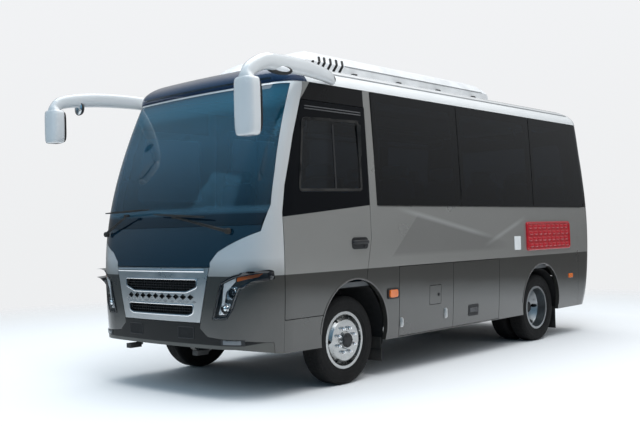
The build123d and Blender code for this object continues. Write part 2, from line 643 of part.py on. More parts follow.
# ---------------------------------------------------------------- mirrors, wipers, flaps
MIRRORS = [dict(side=1, z=2157.0, tall=410.0), dict(side=-1, z=2255.0, tall=290.0)]
with BuildPart() as mirrors:
    for m in MIRRORS:
        s = m["side"]
        top = m["z"] + m["tall"] / 2
        with BuildLine() as arm:
            FilletPolyline((s * 1052, -1830, 2500), (s * 1096, -1990, 2520), (s * 1190, -2640, 2510),
                           (s * 1235, -2930, top + 20), (s * 1235, -2950, top - 60), radius=90)
        with BuildSketch(Plane(arm.line @ 0, z_dir=arm.line % 0)):
            Ellipse(34, 44)
        sweep(path=arm.line)
        with BuildSketch(Plane.XY.offset(m["z"] - m["tall"] / 2)):
            with Locations((s * 1235, -2955)):
                RectangleRounded(205, 120, 42)
        extrude(amount=m["tall"])

WIPERS = [dict(pivot=(776, -2745, 1289), knee=(210, -2790, 1410), tip=(-60, -2790, 1440), heel=(560, -2790, 1400)),
          dict(pivot=(-776, -2745, 1289), knee=(-420, -2790, 1440), tip=(-120, -2790, 1480), heel=(-760, -2765, 1470))]
with BuildPart() as wipers:
    for w in WIPERS:
        with BuildLine() as rod:
            Line(w["pivot"], w["knee"])
        with BuildSketch(Plane(rod.line @ 0, z_dir=rod.line % 0)):
            Rectangle(18, 18)
        sweep(path=rod.line)
        with BuildLine() as blade:
            Line(w["heel"], w["tip"])
        with BuildSketch(Plane(blade.line @ 0, z_dir=blade.line % 0)):
            Rectangle(18, 26)
        sweep(path=blade.line)

FLAPS = [dict(x=890.0, w=190.0, y=-1182.0, z0=135.0), dict(x=775.0, w=410.0, y=2085.0, z0=95.0)]
with BuildPart() as mud_flaps:
    for f in FLAPS:
        for s in (-1, 1):
            with Locations((s * f["x"], f["y"], (f["z0"] + 340) / 2)):
                Box(f["w"], 8, 340 - f["z0"])

# ---------------------------------------------------------------- cabin
dash_form = plan_loft(WALL_SECTIONS, inset=WALL + 20.0, first=310.0, last=2470.0)
dash_profile = side_prism([(-2760, 1068), (-2360, 1068), (-2310, 1140), (-2330, 1240), (-2440, 1285), (-2760, 1300)], -1200, 1200)
with BuildPart() as dashboard:
    add(dash_profile)
    add(dash_form, mode=Mode.INTERSECT)

HELM = (480.0, -2120.0, 1290.0)
HELM_TILT = 32.0
helm_axis = (0.0, sin(radians(HELM_TILT)), cos(radians(HELM_TILT)))
helm_plane = Plane(HELM, x_dir=(1, 0, 0), z_dir=helm_axis)
with BuildPart() as steering_wheel:
    with BuildSketch(Plane(HELM, x_dir=helm_axis, z_dir=(1, 0, 0))):
        with Locations((0, 210)):
            Circle(15)
    revolve(axis=Axis(HELM, helm_axis))
    with Locations(helm_plane):
        with Locations((0, 0, -8)):
            Cylinder(55, 40)
        with Locations((0, 0, -8)):
            Box(410, 34, 16)
        with Locations((0, -100, -8)):
            Box(34, 200, 16)
        with Locations((0, 0, -110)):
            Cylinder(24, 190)

SEATS = [
    dict(x0=240.0, x1=720.0, y=-1860.0, name="driver"),
    dict(x0=-820.0, x1=-380.0, y=-1860.0, name="front"),
    dict(x0=125.0, x1=980.0, y=-1130.0, name="row1"),
    dict(x0=125.0, x1=980.0, y=-350.0, name="row2"),
    dict(x0=125.0, x1=980.0, y=430.0, name="row3"),
    dict(x0=125.0, x1=980.0, y=1210.0, name="row4"),
    dict(x0=-980.0, x1=-550.0, y=-240.0, name="single1"),
    dict(x0=-980.0, x1=-550.0, y=540.0, name="single2"),
    dict(x0=-980.0, x1=-550.0, y=1320.0, name="single3"),
    dict(x0=-940.0, x1=940.0, y=2060.0, name="bench"),
]
with BuildPart() as seat_cushions:
    for s in SEATS:
        with Locations(((s["x0"] + s["x1"]) / 2, s["y"] + 225, 1220)):
            Box(s["x1"] - s["x0"], 450, 110)
with BuildPart() as seat_backs:
    for s in SEATS:
        with Locations(((s["x0"] + s["x1"]) / 2, s["y"] + 505, 1560)):
            Box(s["x1"] - s["x0"], 100, 620)
with BuildPart() as seat_frames:
    for s in SEATS:
        w = s["x1"] - s["x0"]
        with Locations(((s["x0"] + s["x1"]) / 2, s["y"] + 290, 1152)):
            Box(w - 60, 480, 24)
        with Locations(((s["x0"] + s["x1"]) / 2, s["y"] + 240, 990)):
            Box(w - 200, 200, 300)

with BuildPart() as fuel_tank:
    with BuildSketch(Plane.XZ.offset(620)):
        with Locations((730, 490)):
            RectangleRounded(380, 290, 60)
    extrude(amount=-720)
with BuildPart() as exhaust_pipe:
    with Locations((-270, 600, 430)):
        Cylinder(90, 640, rotation=(90, 0, 0))
    with BuildLine() as run:
        FilletPolyline((-270, 880, 430), (-270, 1230, 430), (-270, 1430, 560), (-270, 1930, 560), (-270, 2200, 420),
                       (-270, 2560, 282), (-270, 2950, 282), radius=70)
    with BuildSketch(Plane(run.line @ 0, z_dir=run.line % 0)):
        Circle(28)
    sweep(path=run.line)

# ---------------------------------------------------------------- output
PARTS = {
    "roof_panel": roof_panel, "roof_visor": roof_visor, "roof_ac_unit": roof_ac_unit, "roof_hatch": roof_hatch,
    "body_side_left": body_side_left, "body_side_right": body_side_right, "front_fascia": front_fascia,
    "windscreen": windscreen, "front_mask": front_mask, "front_grille_panel": front_grille_panel,
    "front_bumper": front_bumper, "rear_panel": rear_panel, "rear_window": rear_window,
    "rear_luggage_door": rear_luggage_door, "side_windows_left": side_windows_left,
    "side_windows_right": side_windows_right, "driver_door": driver_door,
    "driver_door_window": driver_door_window, "passenger_door": passenger_door,
    "passenger_door_window": passenger_door_window, "luggage_flap_front": luggage_flap_front,
    "luggage_flap_rear": luggage_flap_rear, "fuel_door": fuel_door, "floor_panel": floor_panel,
    "chassis_rails": chassis_rails, "chassis_cross_members": chassis_cross_members, "engine_block": engine_block, "propshaft": propshaft,
    "front_axle": front_axle, "steering_knuckle_left": steering_knuckle_left,
    "steering_knuckle_right": steering_knuckle_right, "rear_axle": rear_axle, "leaf_springs": leaf_springs,
    "front_wheel_left": front_wheel_left, "front_wheel_right": front_wheel_right,
    "front_tyre_left": front_tyre_left, "front_tyre_right": front_tyre_right,
    "rear_wheels_left": rear_wheels_left, "rear_wheels_right": rear_wheels_right,
    "rear_tyres_left": rear_tyres_left, "rear_tyres_right": rear_tyres_right,
    "mirrors": mirrors, "wipers": wipers, "headlamps": headlamps, "tail_lamps": tail_lamps,
    "mud_flaps": mud_flaps, "dashboard": dashboard, "steering_wheel": steering_wheel,
    "seat_cushions": seat_cushions, "seat_backs": seat_backs, "seat_frames": seat_frames,
    "fuel_tank": fuel_tank, "exhaust_pipe": exhaust_pipe,
}
os.makedirs("parts", exist_ok=True)
for part_name, builder in PARTS.items():
    builder.part.label = part_name
    export_step(builder.part, f"parts/{part_name}.step")
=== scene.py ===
import math
import random

import bmesh
import bpy
from mathutils import Matrix, Vector
from mathutils.bvhtree import BVHTree


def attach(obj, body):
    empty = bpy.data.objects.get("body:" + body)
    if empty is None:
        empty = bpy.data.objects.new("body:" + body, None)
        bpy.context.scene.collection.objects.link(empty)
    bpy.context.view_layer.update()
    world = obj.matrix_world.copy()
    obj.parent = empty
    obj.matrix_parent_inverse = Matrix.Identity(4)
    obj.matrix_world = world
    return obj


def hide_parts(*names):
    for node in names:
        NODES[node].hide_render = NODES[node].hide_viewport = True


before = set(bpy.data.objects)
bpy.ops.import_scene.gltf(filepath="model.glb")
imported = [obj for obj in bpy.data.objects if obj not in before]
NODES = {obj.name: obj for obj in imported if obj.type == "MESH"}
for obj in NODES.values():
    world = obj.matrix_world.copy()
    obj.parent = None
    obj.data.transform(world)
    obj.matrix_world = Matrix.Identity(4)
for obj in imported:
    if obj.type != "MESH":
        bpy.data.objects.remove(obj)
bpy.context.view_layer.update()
rng = random.Random(7)

# ------------------------------------------------------------------ sizes (metres)
FRONT_Y, REAR_Y, AXLE_Z, WHEEL_X, DUAL = -1.645, 1.675, 0.365, 0.890, 0.232
TONE_Z = 0.947
HELM = Vector((0.48, -2.12, 1.29))


# ------------------------------------------------------------------ node helpers
class Mat:
    """Small builder around one Principled material."""

    def __init__(self, name, color=(0.5, 0.5, 0.5), rough=0.5, metal=0.0, coat=0.0, coat_rough=0.03, spec=0.5, ior=1.45):
        self.m = bpy.data.materials.new(name)
        self.m.use_nodes = True
        self.t = self.m.node_tree
        self.b = self.t.nodes["Principled BSDF"]
        i = self.b.inputs
        i["Base Color"].default_value = (*color, 1)
        i["Roughness"].default_value = rough
        i["Metallic"].default_value = metal
        i["Coat Weight"].default_value = coat
        i["Coat Roughness"].default_value = coat_rough
        i["Specular IOR Level"].default_value = spec
        i["IOR"].default_value = ior
        self.coord = self.t.nodes.new("ShaderNodeTexCoord")
        self.xyz = None

    def n(self, kind, **props):
        node = self.t.nodes.new(kind)
        for k, v in props.items():
            setattr(node, k, v)
        return node

    def link(self, a, b):
        self.t.links.new(a, b)

    def obj(self):
        return self.coord.outputs["Object"]

    def sep(self):
        if self.xyz is None:
            self.xyz = self.n("ShaderNodeSeparateXYZ")
            self.link(self.obj(), self.xyz.inputs[0])
        return self.xyz.outputs

    def math(self, op, a, b=None, c=None, clamp=False):
        node = self.n("ShaderNodeMath", operation=op, use_clamp=clamp)
        for k, v in enumerate((a, b, c)):
            if v is None:
                continue
            if isinstance(v, (int, float)):
                node.inputs[k].default_value = v
            else:
                self.link(v, node.inputs[k])
        return node.outputs[0]

    def above(self, value, edge, soft=0.002):
        """0 below edge, 1 above it."""
        r = self.n("ShaderNodeMapRange", clamp=True)
        self.link(value, r.inputs["Value"])
        r.inputs["From Min"].default_value = edge - soft
        r.inputs["From Max"].default_value = edge + soft
        return r.outputs["Result"]

    def noise(self, scale, detail=3.0, rough=0.5, vec=None, dist=0.0):
        node = self.n("ShaderNodeTexNoise")
        node.inputs["Scale"].default_value = scale
        node.inputs["Detail"].default_value = detail
        node.inputs["Roughness"].default_value = rough
        node.inputs["Distortion"].default_value = dist
        self.link(vec or self.obj(), node.inputs["Vector"])
        return node.outputs["Fac"]

    def ramp(self, fac, stops):
        node = self.n("ShaderNodeValToRGB")
        e = node.color_ramp.elements
        while len(e) < len(stops):
            e.new(0.5)
        for el, (p, c) in zip(e, stops):
            el.position = p
            el.color = (*c, 1) if len(c) == 3 else c
        self.link(fac, node.inputs["Fac"])
        return node.outputs["Color"]

    def mix(self, fac, a, b, blend="MIX"):
        node = self.n("ShaderNodeMix", data_type="RGBA", blend_type=blend)
        for sock, v in ((node.inputs[0], fac), (node.inputs[6], a), (node.inputs[7], b)):
            if isinstance(v, (int, float)):
                sock.default_value = v
            elif isinstance(v, tuple):
                sock.default_value = (*v, 1)
            else:
                self.link(v, sock)
        return node.outputs[2]

    def color(self, out):
        self.link(out, self.b.inputs["Base Color"])

    def rough_from(self, fac, lo, hi):
        r = self.n("ShaderNodeMapRange", clamp=True)
        self.link(fac, r.inputs["Value"])
        r.inputs["To Min"].default_value = lo
        r.inputs["To Max"].default_value = hi
        self.link(r.outputs["Result"], self.b.inputs["Roughness"])

    def bump(self, height, strength=0.2, distance=0.002):
        node = self.n("ShaderNodeBump")
        node.inputs["Strength"].default_value = strength
        node.inputs["Distance"].default_value = distance
        self.link(height, node.inputs["Height"])
        self.link(node.outputs["Normal"], self.b.inputs["Normal"])
        return node


SILVER = (0.315, 0.31, 0.295)
HIGHLIGHT_PALE = (0.74, 0.745, 0.74)
DARK = (0.052, 0.051, 0.047)


def body_paint(name, mode="side"):
    """Two-tone metallic paint in object space."""
    m = Mat(name, SILVER, rough=0.28, metal=0.55, coat=1.0, coat_rough=0.02)
    x, y, z = m.sep()
    upper_silver = SILVER
    flake = m.noise(900.0, 1.0)
    dirt = m.noise(1.3, 4.0, 0.55)
    up = m.mix(m.above(dirt, 0.5, 0.35), upper_silver, tuple(c * 1.06 for c in upper_silver))
    if mode == "side":
        # behind the cab: a darker swept area, painted highlight as two soft pale diagonal streaks, and darker towards
        # the rear
        lean = m.math("SUBTRACT", y, m.math("MULTIPLY", z, 1.126))
        line1 = m.math("ADD", z, m.math("MULTIPLY", m.math("ADD", y, 0.676), 0.182))
        line2 = m.math("SUBTRACT", z, m.math("MULTIPLY", m.math("SUBTRACT", y, 0.708), 0.326))
        below1 = m.math("SUBTRACT", 1.0, m.above(line1, 1.395, 0.015))
        a = m.math("MULTIPLY", m.math("MULTIPLY", m.above(lean, -2.247, 0.008), below1), m.math("MULTIPLY", m.above(z, 1.045, 0.020), m.math("SUBTRACT", 1.0, m.above(y, 0.75, 0.25))))
        up = m.mix(m.math("MULTIPLY", a, 0.42), up, (0.175, 0.172, 0.165))
        # painted highlight: pale streaks along the two diagonal lines
        near1 = m.math("SUBTRACT", 1.0, m.math("DIVIDE", m.math("ABSOLUTE", m.math("SUBTRACT", line1, 1.402)), 0.034), clamp=True)
        span1 = m.math("MULTIPLY", m.above(y, -0.85, 0.20), m.math("SUBTRACT", 1.0, m.above(y, 0.45, 0.20)))
        near2 = m.math("SUBTRACT", 1.0, m.math("DIVIDE", m.math("ABSOLUTE", m.math("SUBTRACT", line2, 1.165)), 0.034), clamp=True)
        span2 = m.math("MULTIPLY", m.above(y, 0.60, 0.15), m.math("SUBTRACT", 1.0, m.above(y, 1.22, 0.10)))
        painted_highlight = m.math("MAXIMUM", m.math("MULTIPLY", near1, span1), m.math("MULTIPLY", near2, span2))
        up = m.mix(m.math("MULTIPLY", painted_highlight, 0.34), up, HIGHLIGHT_PALE)
        c = m.math("MULTIPLY", m.above(y, 1.9, 0.9), 0.35)
        up = m.mix(c, up, (0.27, 0.265, 0.25))
    if mode == "front":
        top = m.above(z, 1.02, 0.06)
        up = m.mix(top, (0.40, 0.40, 0.39), (0.74, 0.75, 0.75))
    low = m.mix(m.above(dirt, 0.5, 0.35), DARK, tuple(c * 1.18 for c in DARK))
    low = m.mix(m.math("SUBTRACT", 1.0, m.above(z, 0.42, 0.12)), low, (0.060, 0.058, 0.054))
    col = m.mix(m.above(z, TONE_Z, 0.0015), low, up)
    if mode == "side":
        # bonded-glass band: black behind the panes
        band = m.math("MULTIPLY", m.above(z, 1.4785, 0.001), m.above(y, -1.2725, 0.001))
        header = m.math("MULTIPLY", m.above(z, 2.25, 0.001), m.math("SUBTRACT", 1.0, m.above(y, -1.379, 0.001)))
        header = m.math("MULTIPLY", header, m.above(m.math("SUBTRACT", y, m.math("MULTIPLY", m.math("SUBTRACT", z, 2.28), 0.8)), -2.19, 0.002))
        band = m.math("MAXIMUM", band, header)
        col = m.mix(band, col, (0.006, 0.006, 0.007))
        m.link(m.math("SUBTRACT", 1.0, m.math("MULTIPLY", band, 0.75)), m.b.inputs["Coat Weight"])
    if mode == "door":
        line = m.math("SUBTRACT", z, m.math("MULTIPLY", m.math("ADD", y, 2.366), 0.088))
        dark = m.above(line, 1.393, 0.0012)
        col = m.mix(dark, col, (0.003, 0.004, 0.006))
        m.link(m.math("SUBTRACT", 1.0, m.math("MULTIPLY", dark, 0.75)), m.b.inputs["Coat Weight"])
        m.link(m.math("SUBTRACT", 0.5, m.math("MULTIPLY", dark, 0.35)), m.b.inputs["Specular IOR Level"])
    m.color(m.mix(m.math("MULTIPLY", flake, 0.16), col, (0.9, 0.9, 0.9), "OVERLAY"))
    m.rough_from(m.noise(3.0, 3.0), 0.24, 0.34)
    m.bump(m.noise(900.0, 1.0), 0.02, 0.0003)
    return m.m


def bumper_plastic(name):
    """Black moulding with a grey painted lower lip."""
    m = Mat(name, (0.012, 0.012, 0.012), rough=0.4, spec=0.35)
    x, y, z = m.sep()
    grain = m.noise(700.0, 2.0)
    black = m.mix(m.above(m.noise(5.0, 4.0), 0.5, 0.3), (0.005, 0.0052, 0.0052), (0.008, 0.0083, 0.0083))
    lip = m.mix(m.above(m.noise(4.0, 4.0), 0.5, 0.3), (0.085, 0.083, 0.076), (0.11, 0.107, 0.098))
    ax = m.math("ABSOLUTE", x)
    edge = m.math("ADD", z, m.math("MULTIPLY", m.math("MAXIMUM", m.math("SUBTRACT", ax, 0.86), 0.0), -0.20))
    m.color(m.mix(m.above(edge, 0.424, 0.0010), lip, black))
    m.rough_from(m.noise(25.0, 3.0), 0.34, 0.46)
    m.bump(grain, 0.12, 0.0004)
    return m.m


def plain_paint(name, color, rough=0.25, metal=0.3, coat=1.0):
    m = Mat(name, color, rough=rough, metal=metal, coat=coat)
    m.color(m.mix(m.above(m.noise(2.5, 4.0), 0.5, 0.3), tuple(c * 0.95 for c in color), tuple(min(1, c * 1.03) for c in color)))
    m.rough_from(m.noise(4.0, 3.0), rough * 0.85, rough * 1.15)
    m.bump(m.noise(700.0, 1.0), 0.02, 0.0002)
    return m.m


def plastic(name, color, rough=0.5, grain=900.0, strength=0.25, spec=0.5):
    m = Mat(name, color, rough=rough, spec=spec)
    m.color(m.mix(m.above(m.noise(6.0, 4.0), 0.5, 0.3), tuple(c * 0.85 for c in color), tuple(min(1, c * 1.15) for c in color)))
    m.rough_from(m.noise(25.0, 3.0), rough * 0.85, min(1, rough * 1.15))
    m.bump(m.noise(grain, 2.0), strength, 0.0004)
    return m.m


def ribbed_lens(name, color):
    """Coloured lamp cover with fine upright ribs."""
    m = Mat(name, color, rough=0.15, coat=1.0)
    x, y, z = m.sep()
    m.color(m.mix(m.above(m.noise(9.0, 3.0), 0.5, 0.3), tuple(c * 0.88 for c in color), tuple(min(1, c * 1.1) for c in color)))
    m.bump(m.math("SINE", m.math("MULTIPLY", m.math("ADD", x, y), 900.0)), 0.25, 0.0006)
    return m.m


def metal(name, color, rough=0.25, scale=60.0, wear=0.2, strength=0.05):
    m = Mat(name, color, rough=rough, metal=1.0)
    m.color(m.mix(m.above(m.noise(scale * 0.3, 5.0), 0.5, 0.35), tuple(c * (1 - wear) for c in color), color))
    m.rough_from(m.noise(scale, 4.0), rough * 0.6, min(1, rough * 1.6))
    m.bump(m.noise(scale * 6, 2.0), strength, 0.0006)
    return m.m


def tinted(name, tint, rough=0.0, grad=None):
    """Tinted glass; grad paints the frit and the shade band by height."""
    m = Mat(name, tint, rough=rough, spec=0.6, ior=1.5)
    m.b.inputs["Transmission Weight"].default_value = 1.0
    if grad:
        x, y, z = m.sep()
        r = m.n("ShaderNodeMapRange", clamp=True)
        m.link(z, r.inputs["Value"])
        r.inputs["From Min"].default_value = grad["z0"]
        r.inputs["From Max"].default_value = grad["z1"]
        m.color(m.ramp(r.outputs["Result"], grad["stops"]))
        t = m.ramp(r.outputs["Result"], grad["through"])
        m.link(t, m.b.inputs["Transmission Weight"])
    return m.m


def rubber(name, color=(0.018, 0.018, 0.019), rough=0.75):
    m = Mat(name, color, rough=rough, spec=0.35)
    m.color(m.mix(m.above(m.noise(8.0, 5.0), 0.55, 0.25), color, (0.045, 0.043, 0.040)))
    m.bump(m.noise(500.0, 3.0), 0.25, 0.0005)
    return m.m


def tyre_material(name):
    """Rubber with road-bus tread blocks cut by bump, centred on each axle."""
    m = Mat(name, (0.0090, 0.0090, 0.0095), rough=0.72, spec=0.22)
    x, y, z = m.sep()
    # fold the two axles onto one: distance from the nearer axle
    yf = m.math("SUBTRACT", y, FRONT_Y)
    yr = m.math("SUBTRACT", y, REAR_Y)
    near = m.above(y, 0.0, 0.001)
    dy = m.math("ADD", m.math("MULTIPLY", yf, m.math("SUBTRACT", 1.0, near)), m.math("MULTIPLY", yr, near))
    dz = m.math("SUBTRACT", z, AXLE_Z)
    r = m.math("SQRT", m.math("ADD", m.math("MULTIPLY", dy, dy), m.math("MULTIPLY", dz, dz)))
    ang = m.math("ARCTAN2", dy, dz)
    ax = m.math("ABSOLUTE", x)
    inner = m.math("SUBTRACT", 1.0, m.above(ax, 0.774, 0.001))
    ax = m.math("SUBTRACT", m.math("ADD", ax, m.math("MULTIPLY", inner, DUAL)), WHEEL_X)
    tread = m.above(r, 0.349, 0.003)
    rib = m.math("ABSOLUTE", m.math("SINE", m.math("MULTIPLY", m.math("ADD", ax, 0.0), math.pi / 0.036)))
    rib = m.above(rib, 0.28, 0.10)
    zig = m.math("SINE", m.math("ADD", m.math("MULTIPLY", ang, 62.0), m.math("MULTIPLY", m.math("ABSOLUTE", ax), 40.0)))
    lug = m.above(zig, -0.72, 0.12)
    pattern = m.math("MULTIPLY", rib, lug)
    pattern = m.math("ADD", m.math("MULTIPLY", pattern, tread), m.math("SUBTRACT", 1.0, tread))
    ringa = m.math("ABSOLUTE", m.math("SUBTRACT", r, 0.322))
    ringb = m.math("ABSOLUTE", m.math("SUBTRACT", r, 0.262))
    rings = m.math("ADD", m.math("SUBTRACT", 1.0, m.above(ringa, 0.0022, 0.001)), m.math("SUBTRACT", 1.0, m.above(ringb, 0.003, 0.001)))
    h = m.math("ADD", m.math("MULTIPLY", pattern, 1.0), m.math("MULTIPLY", rings, 0.25))
    m.color(m.mix(m.math("MULTIPLY", m.noise(30.0, 5.0), 0.5), (0.0063, 0.0063, 0.0067), (0.0225, 0.0212, 0.0198)))
    m.rough_from(m.noise(14.0, 4.0), 0.6, 0.85)
    m.bump(h, 0.8, 0.006)
    return m.m


def fabric(name, a, b, scale=420.0, rough=0.85):
    """Woven seat cloth."""
    m = Mat(name, a, rough=rough, spec=0.2)
    m.b.inputs["Sheen Weight"].default_value = 0.35
    x, y, z = m.sep()
    w1 = m.math("SINE", m.math("MULTIPLY", x, scale * 2))
    w2 = m.math("SINE", m.math("MULTIPLY", m.math("ADD", y, z), scale * 2))
    weave = m.math("MULTIPLY", w1, w2)
    fleck = m.above(m.noise(70.0, 4.0, 0.7), 0.62, 0.03)
    m.color(m.mix(fleck, m.mix(m.above(weave, 0.0, 0.8), a, tuple(c * 1.35 for c in a)), b))
    m.bump(weave, 0.35, 0.0008)
    return m.m


# ------------------------------------------------------------------ mesh helpers
def add_object(name, bm, mat, body="body", smooth=True, bevel=0.0, segs=2, subsurf=0, angle=35.0):
    me = bpy.data.meshes.new(name)
    bm.normal_update()
    bm.to_mesh(me)
    bm.free()
    o = bpy.data.objects.new(name, me)
    bpy.context.scene.collection.objects.link(o)
    for mt in (mat if isinstance(mat, (list, tuple)) else [mat]):
        me.materials.append(mt)
    if bevel:
        md = o.modifiers.new("bevel", "BEVEL")
        md.width = bevel
        md.segments = segs
        md.limit_method = "ANGLE"
        md.angle_limit = math.radians(28)
    if subsurf:
        md = o.modifiers.new("sub", "SUBSURF")
        md.levels = md.render_levels = subsurf
    if smooth:
        for p in me.polygons:
            p.use_smooth = True
        me.set_sharp_from_angle(angle=math.radians(angle))
    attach(o, body)
    return o


def bm_box(bm, lo, hi, mat=0):
    vs = [bm.verts.new((x, y, z)) for x in (lo[0], hi[0]) for y in (lo[1], hi[1]) for z in (lo[2], hi[2])]
    fs = []
    for q in ((0, 1, 3, 2), (4, 6, 7, 5), (0, 4, 5, 1), (2, 3, 7, 6), (0, 2, 6, 4), (1, 5, 7, 3)):
        f = bm.faces.new([vs[k] for k in q])
        f.material_index = mat
        fs.append(f)
    return vs


def bm_rings(bm, rings, caps=True, mat=0, closed=True):
    """Quads between rings of points; each ring is a list of the same length."""
    rows = [[bm.verts.new(p) for p in r] for r in rings]
    n = len(rows[0])
    for a, b in zip(rows, rows[1:]):
        for k in range(n if closed else n - 1):
            f = bm.faces.new((a[k], a[(k + 1) % n], b[(k + 1) % n], b[k]))
            f.material_index = mat
    if caps and closed:
        bm.faces.new(list(reversed(rows[0]))).material_index = mat
        bm.faces.new(rows[-1]).material_index = mat
    return rows


def bm_tube(bm, pts, radii, n=14, mat=0, flat=1.0, up=Vector((0, 0, 1))):
    """Round or oval tube through points, with parallel frames."""
    pts = [Vector(p) for p in pts]
    rings = []
    for i, p in enumerate(pts):
        a = pts[max(0, i - 1)]
        b = pts[min(len(pts) - 1, i + 1)]
        t = (b - a).normalized()
        side = t.cross(up)
        side = side.normalized() if side.length > 1e-4 else Vector((1, 0, 0))
        v = side.cross(t).normalized()
        r = radii[i] if isinstance(radii, (list, tuple)) else radii
        rings.append([p + side * (math.cos(2 * math.pi * k / n) * r) + v * (math.sin(2 * math.pi * k / n) * r * flat) for k in range(n)])
    return bm_rings(bm, rings, True, mat)


def bm_revolve(bm, profile, centre, axis="X", n=64, mat=0, sign=1.0, closed=False):
    """Surface of revolution; profile is (along, radius)."""
    rings = []
    for k in range(n):
        a = 2 * math.pi * k / n
        row = []
        for u, r in profile:
            if axis == "X":
                row.append(Vector((centre[0] + sign * u, centre[1] + r * math.cos(a), centre[2] + r * math.sin(a))))
            elif axis == "Z":
                row.append(Vector((centre[0] + r * math.cos(a), centre[1] + r * math.sin(a), centre[2] + sign * u)))
            else:
                row.append(Vector((centre[0] + r * math.cos(a), centre[1] + sign * u, centre[2] + r * math.sin(a))))
        rings.append([bm.verts.new(p) for p in row])
    m = len(profile)
    for k in range(n):
        a, b = rings[k], rings[(k + 1) % n]
        for j in range(m if closed else m - 1):
            f = bm.faces.new((a[j], b[j], b[(j + 1) % m], a[(j + 1) % m]))
            f.material_index = mat
    bmesh.ops.remove_doubles(bm, verts=bm.verts, dist=1e-6)
    return rings


def smooth_path(pts, per=8):
    """Catmull-Rom through the points."""
    pts = [Vector(p) for p in pts]
    out = []
    for i in range(len(pts) - 1):
        p0, p1, p2, p3 = pts[max(0, i - 1)], pts[i], pts[i + 1], pts[min(len(pts) - 1, i + 2)]
        for k in range(per):
            t = k / per
            out.append(0.5 * ((2 * p1) + (-p0 + p2) * t + (2 * p0 - 5 * p1 + 4 * p2 - p3) * t * t + (-p0 + 3 * p1 - 3 * p2 + p3) * t ** 3))
    out.append(pts[-1])
    return out


def tree_of(*names):
    bm = bmesh.new()
    for n in names:
        bm.from_mesh(NODES[n].data)
    t = BVHTree.FromBMesh(bm)
    bm.free()
    return t


SIDE_TREE = {1: tree_of("body_side_left", "driver_door", "luggage_flap_front", "luggage_flap_rear", "fuel_door", "rear_panel", "front_fascia", "driver_door_window", "side_windows_left"),
             -1: tree_of("body_side_right", "passenger_door", "rear_panel", "front_fascia", "side_windows_right", "passenger_door_window")}
FRONT_TREE = tree_of("front_fascia", "front_mask", "windscreen", "front_grille_panel", "front_bumper", "headlamps", "roof_visor")
REAR_TREE = tree_of("rear_panel", "rear_window", "rear_luggage_door", "tail_lamps")
ROOF_TREE = tree_of("roof_panel", "roof_visor")


def side_x(y, z, s=1):
    hit = SIDE_TREE[s].ray_cast(Vector((s * 1.6, y, z)), Vector((-s, 0, 0)))
    return hit[0].x if hit[0] else s * 1.05


def front_y(x, z):
    hit = FRONT_TREE.ray_cast(Vector((x, -3.6, z)), Vector((0, 1, 0)))
    return hit[0].y if hit[0] else -2.7


def rear_y(x, z):
    hit = REAR_TREE.ray_cast(Vector((x, 3.6, z)), Vector((0, -1, 0)))
    return hit[0].y if hit[0] else 3.0


def roof_z(x, y):
    hit = ROOF_TREE.ray_cast(Vector((x, y, 3.4)), Vector((0, 0, -1)))
    return hit[0].z if hit[0] else 2.5


def outline_resample(pts, step=0.02, close=True):
    out = []
    n = len(pts)
    for i in range(n if close else n - 1):
        a, b = Vector(pts[i]), Vector(pts[(i + 1) % n])
        k = max(1, int((b - a).length / step))
        for j in range(k):
            out.append(a.lerp(b, j / k))
    return out


def round_outline(pts, r, per=5):
    """Outline (list of 2D tuples) with rounded corners."""
    out = []
    n = len(pts)
    for i in range(n):
        p, a, b = Vector(pts[i]), Vector(pts[i - 1]), Vector(pts[(i + 1) % n])
        da, db = (a - p), (b - p)
        rr = min(r, da.length * 0.45, db.length * 0.45)
        s, e = p + da.normalized() * rr, p + db.normalized() * rr
        for k in range(per + 1):
            t = k / per
            out.append((1 - t) ** 2 * s + 2 * t * (1 - t) * p + t * t * e)
    return out


def strip_on(name, pts2, project, width, height, mat, body="body", closed=True, n_in=0.0):
    """A raised bead that follows an outline on the bodywork. project(u, v) gives the point and outward normal."""
    bm = bmesh.new()
    pts = outline_resample([tuple(p) for p in pts2], 0.03, closed)
    rows = []
    m = len(pts)
    for i, p in enumerate(pts):
        a, b = pts[i - 1 if closed or i else 0], pts[(i + 1) % m if closed else min(i + 1, m - 1)]
        t = (Vector(b) - Vector(a)).normalized()
        nrm2 = Vector((-t.y, t.x))
        ring = []
        for off, h in ((-width / 2, -0.003), (-width / 2, height * 0.7), (-width / 4, height), (width / 4, height), (width / 2, height * 0.7), (width / 2, -0.003)):
            q = Vector(p) + nrm2 * off
            pos, nn = project(q.x, q.y)
            ring.append(pos + nn * (h + n_in))
        rows.append(ring)
    if closed:
        rows.append(rows[0])
    bm_rings(bm, rows, caps=not closed)
    if closed:
        bmesh.ops.remove_doubles(bm, verts=bm.verts, dist=1e-5)
    bmesh.ops.recalc_face_normals(bm, faces=bm.faces)
    return add_object(name, bm, mat, body, angle=60)


def on_left(y, z):
    x = side_x(y, z, 1)
    return Vector((x, y, z)), Vector((1, 0, 0))


def on_right(y, z):
    x = side_x(y, z, -1)
    return Vector((x, y, z)), Vector((-1, 0, 0))


def on_front(x, z):
    y = front_y(x, z)
    e = 0.01
    dydx = (front_y(x + e, z) - front_y(x - e, z)) / (2 * e)
    dydz = (front_y(x, z + e) - front_y(x, z - e)) / (2 * e)
    nn = Vector((dydx, -1, dydz))
    if nn.length > 4:
        nn = Vector((0, -1, 0))
    return Vector((x, y, z)), nn.normalized()


def on_rear(x, z):
    return Vector((x, rear_y(x, z), z)), Vector((0, 1, 0))


